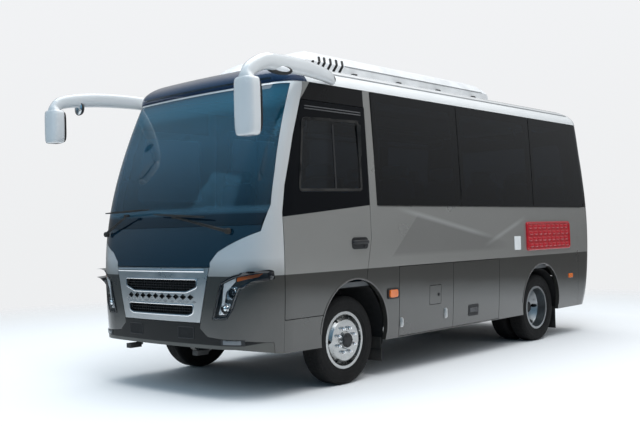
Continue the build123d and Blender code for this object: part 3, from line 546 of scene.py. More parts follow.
def patch(name, pts2, project, lift, thick, mat, body="body", bevel=0.0, step=0.03):
    """A plate that follows the bodywork, with the given outline."""
    bm = bmesh.new()
    ring = outline_resample([tuple(p) for p in pts2], step)
    cx = sum(p.x for p in ring) / len(ring)
    cy = sum(p.y for p in ring) / len(ring)
    levels = (1.0, 0.75, 0.5, 0.25)
    top_rows = []
    for lv in levels:
        row = []
        for p in ring:
            q = Vector((cx + (p.x - cx) * lv, cy + (p.y - cy) * lv))
            pos, nn = project(q.x, q.y)
            row.append(bm.verts.new(pos + nn * (lift + thick)))
        top_rows.append(row)
    m = len(ring)
    for a, b in zip(top_rows, top_rows[1:]):
        for k in range(m):
            bm.faces.new((a[k], a[(k + 1) % m], b[(k + 1) % m], b[k]))
    pos, nn = project(cx, cy)
    c = bm.verts.new(pos + nn * (lift + thick))
    for k in range(m):
        bm.faces.new((top_rows[-1][k], top_rows[-1][(k + 1) % m], c))
    low = []
    for p in ring:
        pos, nn = project(p.x, p.y)
        low.append(bm.verts.new(pos + nn * (lift - 0.004)))
    for k in range(m):
        bm.faces.new((low[k], low[(k + 1) % m], top_rows[0][(k + 1) % m], top_rows[0][k]))
    bmesh.ops.recalc_face_normals(bm, faces=bm.faces)
    return add_object(name, bm, mat, body, bevel=bevel, angle=40)


# ------------------------------------------------------------------ materials
M = {}
M["side"] = body_paint("paint_side", "side")
M["front"] = body_paint("paint_front", "front")
M["door"] = body_paint("paint_door", "door")
M["plainside"] = body_paint("paint_rear", "rear")
M["roof"] = plain_paint("paint_roof_white", (0.88, 0.885, 0.88), 0.32, 0.0)
M["navy"] = plain_paint("paint_visor_navy", (0.010, 0.028, 0.075), 0.22, 0.2)
M["white"] = plastic("moulding_white", (0.74, 0.745, 0.75), 0.38, 700, 0.08)
M["white_gloss"] = plain_paint("mirror_white", (0.71, 0.73, 0.74), 0.26, 0.0)
M["mask"] = plain_paint("gloss_mask_panel", (0.003, 0.017, 0.032), 0.06, 0.0)
M["gloss_black"] = plain_paint("gloss_black_panel", (0.004, 0.005, 0.008), 0.06, 0.0)
M["black"] = plastic("black_moulding", (0.020, 0.020, 0.021), 0.55, 800, 0.25)
M["dark_grey"] = plastic("grey_moulding", (0.085, 0.085, 0.088), 0.6, 800, 0.3)
M["mid_grey"] = plastic("ledge_grey", (0.25, 0.255, 0.26), 0.55, 800, 0.2)
M["cab_grey"] = plastic("cabin_grey", (0.20, 0.20, 0.21), 0.65, 600, 0.3)
M["floor"] = plastic("floor_covering", (0.12, 0.125, 0.13), 0.7, 300, 0.4)
M["trim"] = metal("satin_silver_trim", (0.66, 0.67, 0.67), 0.30, 8, 0.05, 0.004)
M["chrome"] = metal("chrome", (0.86, 0.86, 0.87), 0.08, 20, 0.04, 0.003)
M["steel"] = metal("polished_wheel_steel", (0.50, 0.505, 0.50), 0.22, 60, 0.12, 0.01)
M["dull"] = metal("dull_steel", (0.30, 0.28, 0.26), 0.5, 30, 0.4, 0.2)
M["chassis"] = rubber("chassis_black", (0.022, 0.022, 0.023), 0.6)
M["iron"] = metal("cast_iron", (0.10, 0.10, 0.10), 0.62, 40, 0.3, 0.3)
M["rubber"] = rubber("black_rubber", (0.009, 0.009, 0.0095))
M["steel_rear"] = metal("rear_wheel_steel", (0.36, 0.375, 0.385), 0.30, 60, 0.12, 0.01)
M["tyre"] = tyre_material("tyre_rubber")
M["seat"] = fabric("seat_cloth", (0.10, 0.12, 0.17), (0.25, 0.20, 0.14))
M["head"] = fabric("headrest_cloth", (0.42, 0.40, 0.37), (0.34, 0.32, 0.30))
M["screen"] = tinted("windscreen_glass", (0.30, 0.42, 0.50), grad={
    "z0": 1.30, "z1": 2.46,
    "stops": [(0.0, (0.003, 0.007, 0.012)), (0.10, (0.004, 0.012, 0.022)), (0.16, (0.10, 0.26, 0.38)), (0.62, (0.11, 0.36, 0.54)), (0.80, (0.04, 0.27, 0.42)), (0.95, (0.008, 0.10, 0.17)), (1.0, (0.004, 0.02, 0.04))],
    "through": [(0.0, (0, 0, 0)), (0.10, (0.05, 0.05, 0.05)), (0.16, (0.95, 0.95, 0.95)), (0.80, (0.85, 0.85, 0.85)), (0.93, (0.35, 0.35, 0.35)), (1.0, (0.0, 0.0, 0.0))]})
M["glass"] = tinted("side_glass", (0.095, 0.118, 0.148))
M["door_glass"] = tinted("door_glass", (0.10, 0.13, 0.16))
M["lens"] = tinted("clear_lens", (0.93, 0.95, 0.96))
M["amber"] = ribbed_lens("amber_lens", (0.75, 0.16, 0.015))
M["red"] = ribbed_lens("red_lens", (0.35, 0.008, 0.008))
for k in ("amber", "red"):
    nt = M[k].node_tree
    w = nt.nodes.new("ShaderNodeTexVoronoi")
    w.inputs["Scale"].default_value = 160.0
    tc = nt.nodes.new("ShaderNodeTexCoord")
    bp = nt.nodes.new("ShaderNodeBump")
    bp.inputs["Strength"].default_value = 0.25
    nt.links.new(tc.outputs["Object"], w.inputs["Vector"])
    nt.links.new(w.outputs["Distance"], bp.inputs["Height"])
    nt.links.new(bp.outputs["Normal"], nt.nodes["Principled BSDF"].inputs["Normal"])
M["red_panel"] = plain_paint("red_panel", (0.43, 0.006, 0.014), 0.30, 0.0, 0.6)
M["plate"] = plastic("plain_plate", (0.75, 0.76, 0.76), 0.4, 500, 0.05)
M["mesh"] = plastic("grille_mesh", (0.010, 0.010, 0.011), 0.5, 160, 0.8)
M["mirror_glass"] = metal("mirror_glass", (0.85, 0.87, 0.88), 0.02, 5, 0.0, 0.0)
M["bumper"] = bumper_plastic("bumper_two_tone")
M["slot_grey"] = plastic("slot_lamp_grey", (0.16, 0.17, 0.18), 0.22, 90, 0.1)
M["lamp_dark"] = metal("lamp_housing_dark", (0.06, 0.065, 0.07), 0.3, 120, 0.2, 0.05)
M["lamp_white"] = Mat("light_guide_white", (0.86, 0.88, 0.90), rough=0.2, coat=1.0).m
M["lamp_eye"] = metal("projector_lens_smoked", (0.05, 0.055, 0.065), 0.06, 20, 0.1, 0.0)
M["lamp_bulb"] = metal("projector_lens_bright", (0.80, 0.83, 0.86), 0.08, 20, 0.1, 0.0)
M["liner"] = plastic("arch_liner", (0.006, 0.006, 0.0065), 0.8, 120, 0.4)
# near-black stand-in for the shaded inside of slots, recesses and holes: painted shade
M["hole"] = plastic("painted_recess_shade", (0.004, 0.004, 0.0045), 0.7, 400, 0.1)
M["arch_lip"] = plain_paint("arch_lip_grey", (0.085, 0.08, 0.076), 0.35, 0.3)
M["curtain"] = fabric("headlining", (0.50, 0.50, 0.49), (0.45, 0.45, 0.44), 200.0, 0.9)


def assign(node, mat):
    o = NODES[node]
    o.data.materials.clear()
    o.data.materials.append(mat)
    for p in o.data.polygons:
        p.use_smooth = True
    o.data.set_sharp_from_angle(angle=math.radians(24))


for node, key in {
    "roof_panel": "roof", "roof_visor": "navy", "roof_hatch": "white", "body_side_left": "side", "body_side_right": "side",
    "front_fascia": "front", "windscreen": "screen", "front_mask": "mask", "front_grille_panel": "trim",
    "front_bumper": "bumper", "rear_panel": "side", "rear_window": "glass", "rear_luggage_door": "plainside",
    "side_windows_left": "glass", "side_windows_right": "glass", "driver_door": "door", "driver_door_window": "door_glass",
    "passenger_door": "plainside", "passenger_door_window": "door_glass", "luggage_flap_front": "plainside",
    "luggage_flap_rear": "plainside", "fuel_door": "plainside", "floor_panel": "floor", "chassis_rails": "chassis", "chassis_cross_members": "chassis",
    "engine_block": "iron", "propshaft": "chassis", "front_axle": "iron", "steering_knuckle_left": "iron",
    "steering_knuckle_right": "iron", "rear_axle": "iron", "leaf_springs": "chassis", "front_wheel_left": "steel",
    "front_wheel_right": "steel", "front_tyre_left": "tyre", "front_tyre_right": "tyre", "rear_wheels_left": "steel_rear",
    "rear_wheels_right": "steel_rear", "rear_tyres_left": "tyre", "rear_tyres_right": "tyre", "mud_flaps": "rubber",
    "dashboard": "cab_grey", "steering_wheel": "black", "seat_frames": "dark_grey", "fuel_tank": "chassis",
    "exhaust_pipe": "dull", "headlamps": "lens", "tail_lamps": "red", "mirrors": "white_gloss", "wipers": "black",
    "roof_ac_unit": "white", "seat_cushions": "seat", "seat_backs": "seat",
}.items():
    assign(node, M[key])
    wn_mod = NODES[node].modifiers.new("weighted", "WEIGHTED_NORMAL")
    wn_mod.keep_sharp = True
    wn_mod.weight = 80


# ------------------------------------------------------------------ seats
SEATS = [(0.24, 0.72, -1.86, 1), (-0.82, -0.38, -1.86, 1), (0.125, 0.98, -1.13, 2), (0.125, 0.98, -0.35, 2), (0.125, 0.98, 0.43, 2),
         (0.125, 0.98, 1.21, 2), (-0.98, -0.55, -0.24, 1), (-0.98, -0.55, 0.54, 1), (-0.98, -0.55, 1.32, 1), (-0.94, 0.94, 2.06, 4)]


def soft_block(bm, c, size, crown, n=6, power=4.0, mat=0, axis=2):
    """Crowned cushion: a gridded superellipsoid box, fuller on its resting-free face."""
    rows = []
    for i in range(n * 2 + 1):
        v = -1 + i / n
        ring = []
        pr = (1 - abs(v) ** power) ** (1 / power) if abs(v) < 1 else 0.0
        for k in range(32):
            a = 2 * math.pi * k / 32
            ca, sa = math.cos(a), math.sin(a)
            rr = (abs(ca) ** power + abs(sa) ** power) ** (-1 / power)
            u, w = ca * rr, sa * rr
            puff = 1.0 + crown * (1 - min(1, u * u)) * (1 - min(1, w * w))
            s = 0.90 + 0.10 * pr
            p = [u * s * size[0] / 2, w * s * size[1] / 2, v * size[2] / 2]
            if axis == 1:
                p = [u * s * size[0] / 2, v * size[1] / 2, w * s * size[2] / 2]
            p[axis] *= puff
            ring.append(Vector(c) + Vector(p))
        rows.append(ring)
    bm_rings(bm, rows, True, mat)


def capped_cushion(bm, c, size, crown, axis, mat=0):
    """Closed pillow with flat back and domed front made from concentric rings."""
    rings = []
    steps = [(-0.5, 0.90), (-0.49, 0.96), (-0.40, 0.995), (0.0, 1.0), (0.30, 0.995), (0.42, 0.965), (0.475, 0.90), (0.50, 0.80), (0.515, 0.60), (0.525, 0.40), (0.53, 0.20), (0.532, 0.05)]
    for h, s in steps:
        ring = []
        for k in range(40):
            a = 2 * math.pi * k / 40
            ca, sa = math.cos(a), math.sin(a)
            rr = (abs(ca) ** 5 + abs(sa) ** 5) ** (-1 / 5)
            u, w = ca * rr * s, sa * rr * s
            pinch = 1 - 0.018 * (1 - abs(u)) * (1 if abs(w) > 0.5 else 0) - 0.018 * (1 - abs(w)) * (1 if abs(u) > 0.5 else 0)
            hh = h if h < 0.3 else 0.3 + (h - 0.3) * (1 + crown)
            if axis == 2:
                p = Vector((u * size[0] / 2 * pinch, w * size[1] / 2 * pinch, hh * size[2]))
            else:
                p = Vector((u * size[0] / 2 * pinch, -hh * size[1], w * size[2] / 2 * pinch))
            ring.append(Vector(c) + p)
        rings.append(ring)
    bm_rings(bm, rings, True, mat)


cushion_pieces, back_pieces = [], []
for si, (x0, x1, y0, places) in enumerate(SEATS):
    w = (x1 - x0) / places
    bmc, bmb = bmesh.new(), bmesh.new()
    for k in range(places):
        cx = x0 + w * (k + 0.5)
        capped_cushion(bmc, (cx, y0 + 0.225, 1.218), (w * 0.965, 0.445, 0.104), 0.5, 2)
        for sgn in (-1, 1):
            capped_cushion(bmc, (cx + sgn * w * 0.43, y0 + 0.225, 1.232), (w * 0.11, 0.43, 0.100), 0.3, 2)
        capped_cushion(bmb, (cx, y0 + 0.510, 1.500), (w * 0.945, 0.088, 0.500), 0.5, 1)
        capped_cushion(bmb, (cx, y0 + 0.502, 1.405), (w * 0.56, 0.100, 0.230), 0.5, 1)
        capped_cushion(bmb, (cx, y0 + 0.508, 1.810), (w * 0.62, 0.082, 0.115), 0.5, 1, mat=1)
    for bm in (bmc, bmb):
        bmesh.ops.recalc_face_normals(bm, faces=bm.faces)
    oc = add_object(f"seat_cushion_{si}", bmc, M["seat"], angle=50, subsurf=1)
    ob = add_object(f"seat_back_{si}", bmb, [M["seat"], M["head"]], angle=50, subsurf=1)
    cushion_pieces.append(oc)
    back_pieces.append(ob)
for o in cushion_pieces:
    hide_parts("seat_cushions")
for o in back_pieces:
    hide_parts("seat_backs")

# ------------------------------------------------------------------ fittings
def mirror_pts(pts, s):
    return [(p[0] * s, p[1]) for p in pts]


def on_side(s):
    return on_left if s > 0 else on_right


def on_grille(x, z):
    return Vector((x, -2.800 + x * x / 13.6, z)), Vector((x / 6.8, -1, 0)).normalized()


def plate(name, pts2, project, lift, thick, mat, body="body", r=0.0, bevel=0.0):
    return patch(name, round_outline(pts2, r) if r else [Vector(p) for p in pts2], project, lift, thick, mat, body, bevel)


def rect(a0, a1, b0, b1):
    return [(a0, b0), (a1, b0), (a1, b1), (a0, b1)]


# doors: handles, seals, locks
plate("driver_handle_recess", rect(-1.632, -1.419, 1.114, 1.212), on_left, 0.0, 0.002, M["black"], "driver_door_body", 0.035)
bm = bmesh.new()
hx = side_x(-1.53, 1.17) + 0.022
bm_tube(bm, smooth_path([(hx - 0.024, -1.618, 1.170), (hx - 0.003, -1.604, 1.171), (hx + 0.004, -1.52, 1.173), (hx - 0.003, -1.446, 1.172), (hx - 0.024, -1.432, 1.170)], 6), [0.010] + [0.013] * 23 + [0.010], 14, 0, 1.35)
bm_revolve(bm, [(0.0, 0.0), (0.006, 0.0), (0.006, 0.007), (0.004, 0.010), (0.0, 0.010)], (hx - 0.020, -1.47, 1.132), "X", 20)
add_object("driver_handle", bm, M["black"], "driver_door_body")
plate("passenger_handle_recess", rect(-0.52, -0.38, 1.06, 1.20), on_right, 0.0, 0.002, M["black"], "passenger_door_body", 0.03)
bm = bmesh.new()
hx = side_x(-0.45, 1.13, -1) - 0.020
bm_tube(bm, smooth_path([(hx + 0.02, -0.505, 1.13), (hx, -0.495, 1.13), (hx - 0.004, -0.45, 1.13), (hx, -0.405, 1.13), (hx + 0.02, -0.395, 1.13)], 5), 0.012, 12, 0, 1.3)
add_object("passenger_handle", bm, M["black"], "passenger_door_body")
glass_out = [(-2.158, 2.161), (-1.474, 2.182), (-1.471, 1.609), (-2.236, 1.594)]
strip_on("driver_window_frame", round_outline(glass_out, 0.03), on_left, 0.022, 0.006, M["rubber"], "driver_door_body")
for k, zz in enumerate((2.264, 2.243)):
    strip_on(f"driver_door_gutter_{k}", [(-2.13, zz), (-1.40, zz)], on_left, 0.009, 0.006, M["dark_grey"], "driver_door_body", closed=False)
strip_on("driver_window_slide", [(-1.80, 1.606), (-1.80, 2.168)], on_left, 0.020, 0.005, M["black"], "driver_door_body", closed=False)
for k, y in enumerate((0.068, 1.519)):
    strip_on(f"pane_joint_left_{k}", [(y, 1.490), (y, 2.448)], on_left, 0.010, 0.0022, M["rubber"], closed=False)
    strip_on(f"pane_joint_right_{k}", [(y, 1.490), (y, 2.448)], on_right, 0.010, 0.0022, M["rubber"], closed=False)
for s in (1, -1):
    strip_on(f"belt_moulding_{s}", [(-1.262 if s > 0 else -0.28, 1.478), (2.69, 1.478)], on_side(s), 0.012, 0.004, M["rubber"], closed=False)
    # side marker lamps, rear reflectors, mud guard lips
    my = -1.082 if s > 0 else -0.14
    plate(f"marker_base_{s}", rect(my - 0.078, my + 0.078, 0.668, 0.760), on_side(s), 0.0, 0.010, M["black"], r=0.02)
    plate(f"marker_lens_{s}", rect(my - 0.064, my + 0.050, 0.680, 0.748), on_side(s), 0.010, 0.014, M["amber"], r=0.022, bevel=0.004)
    plate(f"rear_marker_{s}", rect(2.30, 2.40, 0.66, 0.71), on_side(s), 0.0, 0.010, M["amber"], r=0.012, bevel=0.003)
    for k, (cy, cz, r0, a0, a1) in enumerate(((-1.585, 0.436, 0.436, -8, 188), (1.656, 0.432, 0.424, -8, 188))):
        pts = [(cy + r0 * math.cos(math.radians(a)), cz + r0 * math.sin(math.radians(a))) for a in range(a0, a1, 6)]
        strip_on(f"arch_lip_{k}_{s}", pts, on_side(s), 0.014, 0.0045, M["arch_lip"], closed=False)

# liners over the wheels, inside the body
for s in (1, -1):
    for nm, cy, cz, rr_, a0, a1, x0, x1 in (("front", -1.620, 0.420, 0.470, -24, 150, 0.60, 0.985), ("rear", 1.675, 0.365, 0.428, -4, 184, 0.50, 1.005)):
        bm = bmesh.new()
        rows = []
        for a in range(a0, a1 + 1, 6):
            ca, sa = math.cos(math.radians(a)), math.sin(math.radians(a))
            rows.append([Vector((s * x0, cy + rr_ * ca, min(0.792, cz + rr_ * sa))), Vector((s * x1, cy + rr_ * ca, min(0.792, cz + rr_ * sa))),
                         Vector((s * x1, cy + (rr_ + 0.004) * ca, min(0.796, cz + (rr_ + 0.004) * sa))), Vector((s * x0, cy + (rr_ + 0.004) * ca, min(0.796, cz + (rr_ + 0.004) * sa)))])
        bm_rings(bm, rows)
        bmesh.ops.recalc_face_normals(bm, faces=bm.faces)
        add_object(f"arch_liner_{nm}_{s}", bm, M["liner"], angle=40)

# luggage flap fittings
for k, (y, z0, z1) in enumerate(((-0.950, 0.408, 0.492), (-0.255, 0.424, 0.520))):
    x = side_x(y, (z0 + z1) / 2)
    bm = bmesh.new()
    bm_box(bm, (x - 0.002, y - 0.018, z0), (x + 0.006, y + 0.018, z1))
    bm_box(bm, (x + 0.004, y - 0.010, z0 + 0.010), (x + 0.018, y + 0.010, z1 - 0.010))
    bm_revolve(bm, [(0.0, 0.0), (0.010, 0.0), (0.010, 0.007), (0.0, 0.007)], (x + 0.006, y, z1 - 0.008), "X", 16)
    add_object(f"flap_handle_{k}", bm, M["trim"], "luggage_flap_front_body", bevel=0.003)
plate("rear_flap_latch", rect(0.146, 0.331, 0.404, 0.516), on_left, 0.0, 0.0025, M["black"], "luggage_flap_rear_body", 0.02)
bm = bmesh.new()
x = side_x(0.24, 0.46)
bm_box(bm, (x - 0.001, 0.170, 0.440), (x + 0.010, 0.305, 0.484))
bm_revolve(bm, [(0.0, 0.0), (0.013, 0.0), (0.013, 0.009), (0.0, 0.009)], (x + 0.001, 0.275, 0.462), "X", 18)
add_object("rear_flap_latch_bar", bm, M["dark_grey"], "luggage_flap_rear_body", bevel=0.004)
bm = bmesh.new()
x = side_x(-0.37, 0.656)
bm_revolve(bm, [(0.0, 0.0), (0.008, 0.0), (0.008, 0.012), (0.005, 0.015), (-0.002, 0.015)], (x, -0.372, 0.656), "X", 24)
add_object("fuel_door_lock", bm, M["black"], "fuel_door_body")

# red ribbed panel and blank plate on the left flank
plate("red_panel_base", rect(1.314, 2.331, 1.004, 1.316), on_left, 0.001, 0.010, M["red_panel"], r=0.03, bevel=0.003)
strip_on("red_panel_rim", round_outline(rect(1.328, 2.317, 1.018, 1.302), 0.03), lambda y, z: (on_left(y, z)[0] + Vector((0.010, 0, 0)), Vector((1, 0, 0))), 0.020, 0.010, M["red_panel"])
bm = bmesh.new()
for row in range(4):
    zc = 1.059 + row * 0.0675
    for col in range(9):
        yc = 1.405 + col * 0.105 - (0.012 if row % 2 else -0.006)
        x = side_x(yc, zc) + 0.009
        rings = []
        for h, sc in ((0.0, 1.0), (0.006, 0.94), (0.013, 0.74), (0.016, 0.50), (0.0165, 0.05)):
            rings.append([Vector((x + h, yc + 0.041 * sc * math.copysign(abs(math.cos(a_)) ** 0.6, math.cos(a_)), zc + 0.025 * sc * math.copysign(abs(math.sin(a_)) ** 0.6, math.sin(a_)))) for a_ in [2 * math.pi * q / 20 + 0.001 for q in range(20)]])
        bm_rings(bm, rings)
bmesh.ops.recalc_face_normals(bm, faces=bm.faces)
add_object("red_panel_studs", bm, M["red_panel"], angle=50)
plate("blank_side_plate", rect(1.058, 1.187, 1.021, 1.165), on_left, 0.0, 0.004, M["plate"], r=0.008, bevel=0.001)

# headlamps: bezel, housing and reflectors behind the clear cover
LAMP = [(0.608, 0.618), (0.745, 0.625), (0.800, 0.700), (0.850, 0.850), (0.950, 0.905), (1.020, 0.920), (1.018, 0.985), (0.940, 0.985), (0.800, 0.950), (0.700, 0.900)]
lamp_mid = Vector((0.79, 0.81))


def shrink(pts, d):
    out = []
    n = len(pts)
    for i in range(n):
        a, p, b = Vector(pts[i - 1]), Vector(pts[i]), Vector(pts[(i + 1) % n])
        t1, t2 = (p - a).normalized(), (b - p).normalized()
        n1, n2 = Vector((-t1.y, t1.x)), Vector((-t2.y, t2.x))
        m = (n1 + n2)
        out.append(tuple(p + m * (d / max(0.35, m.length_squared / 2)) / 2 * 1.0))
    return out


for s in (1, -1):
    strip_on(f"lamp_bezel_{s}", round_outline(mirror_pts(shrink(LAMP, 0.009), s), 0.012), on_front, 0.024, 0.003, M["gloss_black"])
    plate(f"lamp_housing_{s}", mirror_pts(shrink(LAMP, 0.010), s), on_front, -0.034, 0.003, M["lamp_dark"])
    plate(f"lamp_light_guide_{s}", mirror_pts([(0.700, 0.700), (0.722, 0.705), (0.752, 0.872), (0.822, 0.905), (0.826, 0.934), (0.728, 0.893)], s), on_front, -0.022, 0.010, M["lamp_white"], bevel=0.002)
    plate(f"lamp_amber_{s}", mirror_pts([(0.832, 0.908), (0.962, 0.938), (0.985, 0.966), (0.836, 0.938)], s), on_front, -0.022, 0.010, M["amber"], bevel=0.002)
    plate(f"lamp_low_bowl_{s}", round_outline(mirror_pts([(0.658, 0.652), (0.742, 0.660), (0.786, 0.742), (0.700, 0.752)], s), 0.02), on_front, -0.028, 0.006, M["chrome"], bevel=0.002)
    plate(f"lamp_high_bowl_{s}", round_outline(mirror_pts([(0.738, 0.772), (0.806, 0.770), (0.842, 0.872), (0.766, 0.866)], s), 0.02), on_front, -0.028, 0.005, M["chrome"], bevel=0.002)
    for k, (lx, lz, lr) in enumerate(((0.790, 0.820, 0.036), (0.720, 0.704, 0.034))):
        pos, nn = on_front(lx * s, lz)
        bm = bmesh.new()
        bm_revolve(bm, [(-0.010, lr + 0.008), (-0.002, lr + 0.008), (0.002, lr + 0.003), (0.002, lr)], pos + nn * -0.022, "Y", 36, 1, -1.0)
        bm_revolve(bm, [(0.0, lr)] + [(0.016 * math.sin(a), lr * math.cos(a)) for a in (0.3, 0.6, 0.9, 1.2, 1.45)] + [(0.016, 0.0)], pos + nn * -0.022, "Y", 36, 0, -1.0)
        bmesh.ops.recalc_face_normals(bm, faces=bm.faces)
        add_object(f"lamp_projector_{k}_{s}", bm, [M["lamp_bulb"] if k else M["lamp_eye"], M["chrome"]])
    # lamps in the bumper slots
    plate(f"slot_lamp_base_{s}", mirror_pts(rect(0.690, 0.868, 0.428, 0.470), s), on_front, 0.0, 0.003, M["black"])
    plate(f"slot_lamp_{s}", mirror_pts(rect(0.710, 0.845, 0.434, 0.464), s), on_front, 0.003, 0.004, M["slot_grey"], r=0.006, bevel=0.001)
    # recesses in the black centre of the bumper, their floors a near-black plate: painted shade
    plate(f"bumper_recess_{s}", mirror_pts(rect(0.235, 0.400, 0.470, 0.548), s), on_front, 0.0, 0.0015, M["hole"], r=0.012)
    strip_on(f"bumper_recess_rim_{s}", round_outline(mirror_pts(rect(0.230, 0.405, 0.465, 0.553), s), 0.014), on_front, 0.008, 0.004, M["black"])

# grille inserts: slats, mesh and bright edges ride with the service panel
UP = [(-0.446, 0.920), (0.446, 0.920), (0.446, 0.860), (0.330, 0.822), (-0.330, 0.822), (-0.446, 0.860)]
LOW = [(-0.405, 0.722), (0.405, 0.722), (0.400, 0.660), (0.350, 0.642), (-0.350, 0.642), (-0.400, 0.660)]
for nm, z0, z1, hw in (("upper", 0.812, 0.930, 0.458), ("lower", 0.632, 0.732, 0.418), ("row", 0.760, 0.806, 0.420)):
    bm = bmesh.new()
    rows = []
    n = 40
    for i in range(n + 1):
        x = -hw + 2 * hw * i / n
        y = -2.800 + x * x / 13.6
        rows.append([Vector((x, y + 0.034, z0)), Vector((x, y + 0.039, z0)), Vector((x, y + 0.039, z1)), Vector((x, y + 0.034, z1))])
    bm_rings(bm, rows)
    if nm != "row":
        count = 5 if nm == "upper" else 4
        for j in range(count):
            z = z0 + 0.018 + (z1 - z0 - 0.036) * j / (count - 1)
            rows = []
            for i in range(n + 1):
                x = -hw + 2 * hw * i / n
                y = -2.800 + x * x / 13.6
                rows.append([Vector((x, y + 0.014, z - 0.0025)), Vector((x, y + 0.034, z - 0.005)), Vector((x, y + 0.034, z + 0.001)), Vector((x, y + 0.014, z + 0.0025))])
            bm_rings(bm, rows)
        for j in range(29):
            x = -hw + 0.02 + (2 * hw - 0.04) * j / 28
            y = -2.800 + x * x / 13.6
            bm_box(bm, (x - 0.0015, y + 0.024, z0 + 0.004), (x + 0.0015, y + 0.034, z1 - 0.004))
    bmesh.ops.recalc_face_normals(bm, faces=bm.faces)
    add_object(f"grille_insert_{nm}", bm, M["mesh"], "grille_panel_body")
strip_on("grille_upper_edge", round_outline(shrink(UP, 0.006), 0.018), on_grille, 0.012, 0.004, M["chrome"], "grille_panel_body")
strip_on("grille_lower_edge", round_outline(shrink(LOW, 0.006), 0.018), on_grille, 0.012, 0.004, M["chrome"], "grille_panel_body")
strip_on("grille_top_bead", [(-0.566, 0.990), (0.566, 0.990)], on_grille, 0.024, 0.007, M["chrome"], "grille_panel_body", closed=False)
bm = bmesh.new()
for i in range(11):
    x = -0.42 + 0.084 * i
    y = -2.800 + x * x / 13.6
    vs = [bm.verts.new(p) for p in ((x - 0.027, y - 0.0040, 0.747), (x, y - 0.0040, 0.736), (x + 0.027, y - 0.0040, 0.747), (x, y - 0.0040, 0.758))]
    vb = [bm.verts.new(v.co + Vector((0, 0.004, 0))) for v in vs]
    bm.faces.new(vs)
    for q in range(4):
        bm.faces.new((vs[q], vs[(q + 1) % 4], vb[(q + 1) % 4], vb[q]))
bmesh.ops.recalc_face_normals(bm, faces=bm.faces)
add_object("grille_dimples", bm, M["mid_grey"], "grille_panel_body", smooth=False)
# near-black walls of the diamond openings: painted shade
bm = bmesh.new()
for i in range(10):
    x = -0.378 + 0.084 * i
    y = -2.800 + x * x / 13.6
    for a, b, c, d in (((-0.035, 0.0), (0.0, 0.022), (-0.026, 0.0), (0.0, 0.0145)), ((0.0, 0.022), (0.035, 0.0), (0.0, 0.0145), (0.026, 0.0)),
                       ((0.035, 0.0), (0.0, -0.022), (0.026, 0.0), (0.0, -0.0145)), ((0.0, -0.022), (-0.035, 0.0), (0.0, -0.0145), (-0.026, 0.0))):
        lo_, hi_ = [], []
        for q in (a, b, d, c):
            lo_.append(Vector((x + q[0], y - 0.0045, 0.783 + q[1])))
            hi_.append(Vector((x + q[0], y + 0.010, 0.783 + q[1])))
        bm_rings(bm, [lo_, hi_])
bmesh.ops.recalc_face_normals(bm, faces=bm.faces)
add_object("grille_diamond_edges", bm, M["hole"], "grille_panel_body", smooth=False)

# wheels: nuts, caps, valve
for name, body, s, cy, rear in (("front_wheel_left", "front_wheel_left_body", 1, FRONT_Y, False), ("front_wheel_right", "front_wheel_right_body", -1, FRONT_Y, False),
                                ("rear_wheels_left", "rear_wheels_left_body", 1, REAR_Y, True), ("rear_wheels_right", "rear_wheels_right_body", -1, REAR_Y, True)):
    tree = tree_of(name)

    def face_x(r, a):
        hit = tree.ray_cast(Vector((s * 1.4, cy + r * math.cos(a), AXLE_Z + r * math.sin(a))), Vector((-s, 0, 0)))
        return abs(hit[0].x) if hit[0] else 0.93
    bm = bmesh.new()
    for k in range(8):
        a = 2 * math.pi * (k + 0.5) / 8
        r = 0.104
        x = face_x(r, a)
        cyk, czk = cy + r * math.cos(a), AXLE_Z + r * math.sin(a)
        bm_revolve(bm, [(-0.002, 0.0185), (0.004, 0.0185), (0.005, 0.016)], (s * x, cyk, czk), "X", 20, 0, s)
        bm_revolve(bm, [(0.003, 0.0155), (0.022, 0.0155), (0.025, 0.012), (0.025, 0.008), (0.034, 0.008), (0.034, 0.0)], (s * x, cyk, czk), "X", 6, 0, s)
    bmesh.ops.recalc_face_normals(bm, faces=bm.faces)
    add_object(f"{name}_nuts", bm, M["chrome"], body, angle=30)
    xs = face_x(0.0, 0.0)
    bm = bmesh.new()
    if rear:
        bm_revolve(bm, [(-0.004, 0.0585), (0.004, 0.0585), (0.006, 0.052), (0.010, 0.020), (0.010, 0.0)], (s * xs, cy, AXLE_Z), "X", 40, 0, s)
        for k in range(8):
            a = 2 * math.pi * k / 8
            bm_revolve(bm, [(0.003, 0.0075), (0.013, 0.0075), (0.014, 0.0)], (s * xs, cy + 0.043 * math.cos(a), AXLE_Z + 0.043 * math.sin(a)), "X", 6, 0, s)
    else:
        bm_revolve(bm, [(-0.004, 0.0605), (0.004, 0.0605), (0.010, 0.056), (0.013, 0.036), (0.014, 0.0)], (s * xs, cy, AXLE_Z), "X", 40, 0, s)
        for k in range(6):
            a = 2 * math.pi * k / 6
            bm_revolve(bm, [(0.008, 0.0065), (0.018, 0.0065), (0.019, 0.0)], (s * xs, cy + 0.046 * math.cos(a), AXLE_Z + 0.046 * math.sin(a)), "X", 6, 0, s)
    bmesh.ops.recalc_face_normals(bm, faces=bm.faces)
    add_object(f"{name}_cap", bm, M["black"], body)
    bm = bmesh.new()
    a = math.radians(20)
    xv = face_x(0.185, a)
    bm_tube(bm, [(s * (xv - 0.01), cy + 0.196 * math.cos(a), AXLE_Z + 0.196 * math.sin(a)), (s * (xv + 0.012), cy + 0.188 * math.cos(a), AXLE_Z + 0.188 * math.sin(a)), (s * (xv + 0.035), cy + 0.180 * math.cos(a), AXLE_Z + 0.180 * math.sin(a))], [0.0045, 0.0045, 0.0038], 10)
    add_object(f"{name}_valve", bm, M["chrome"], body)

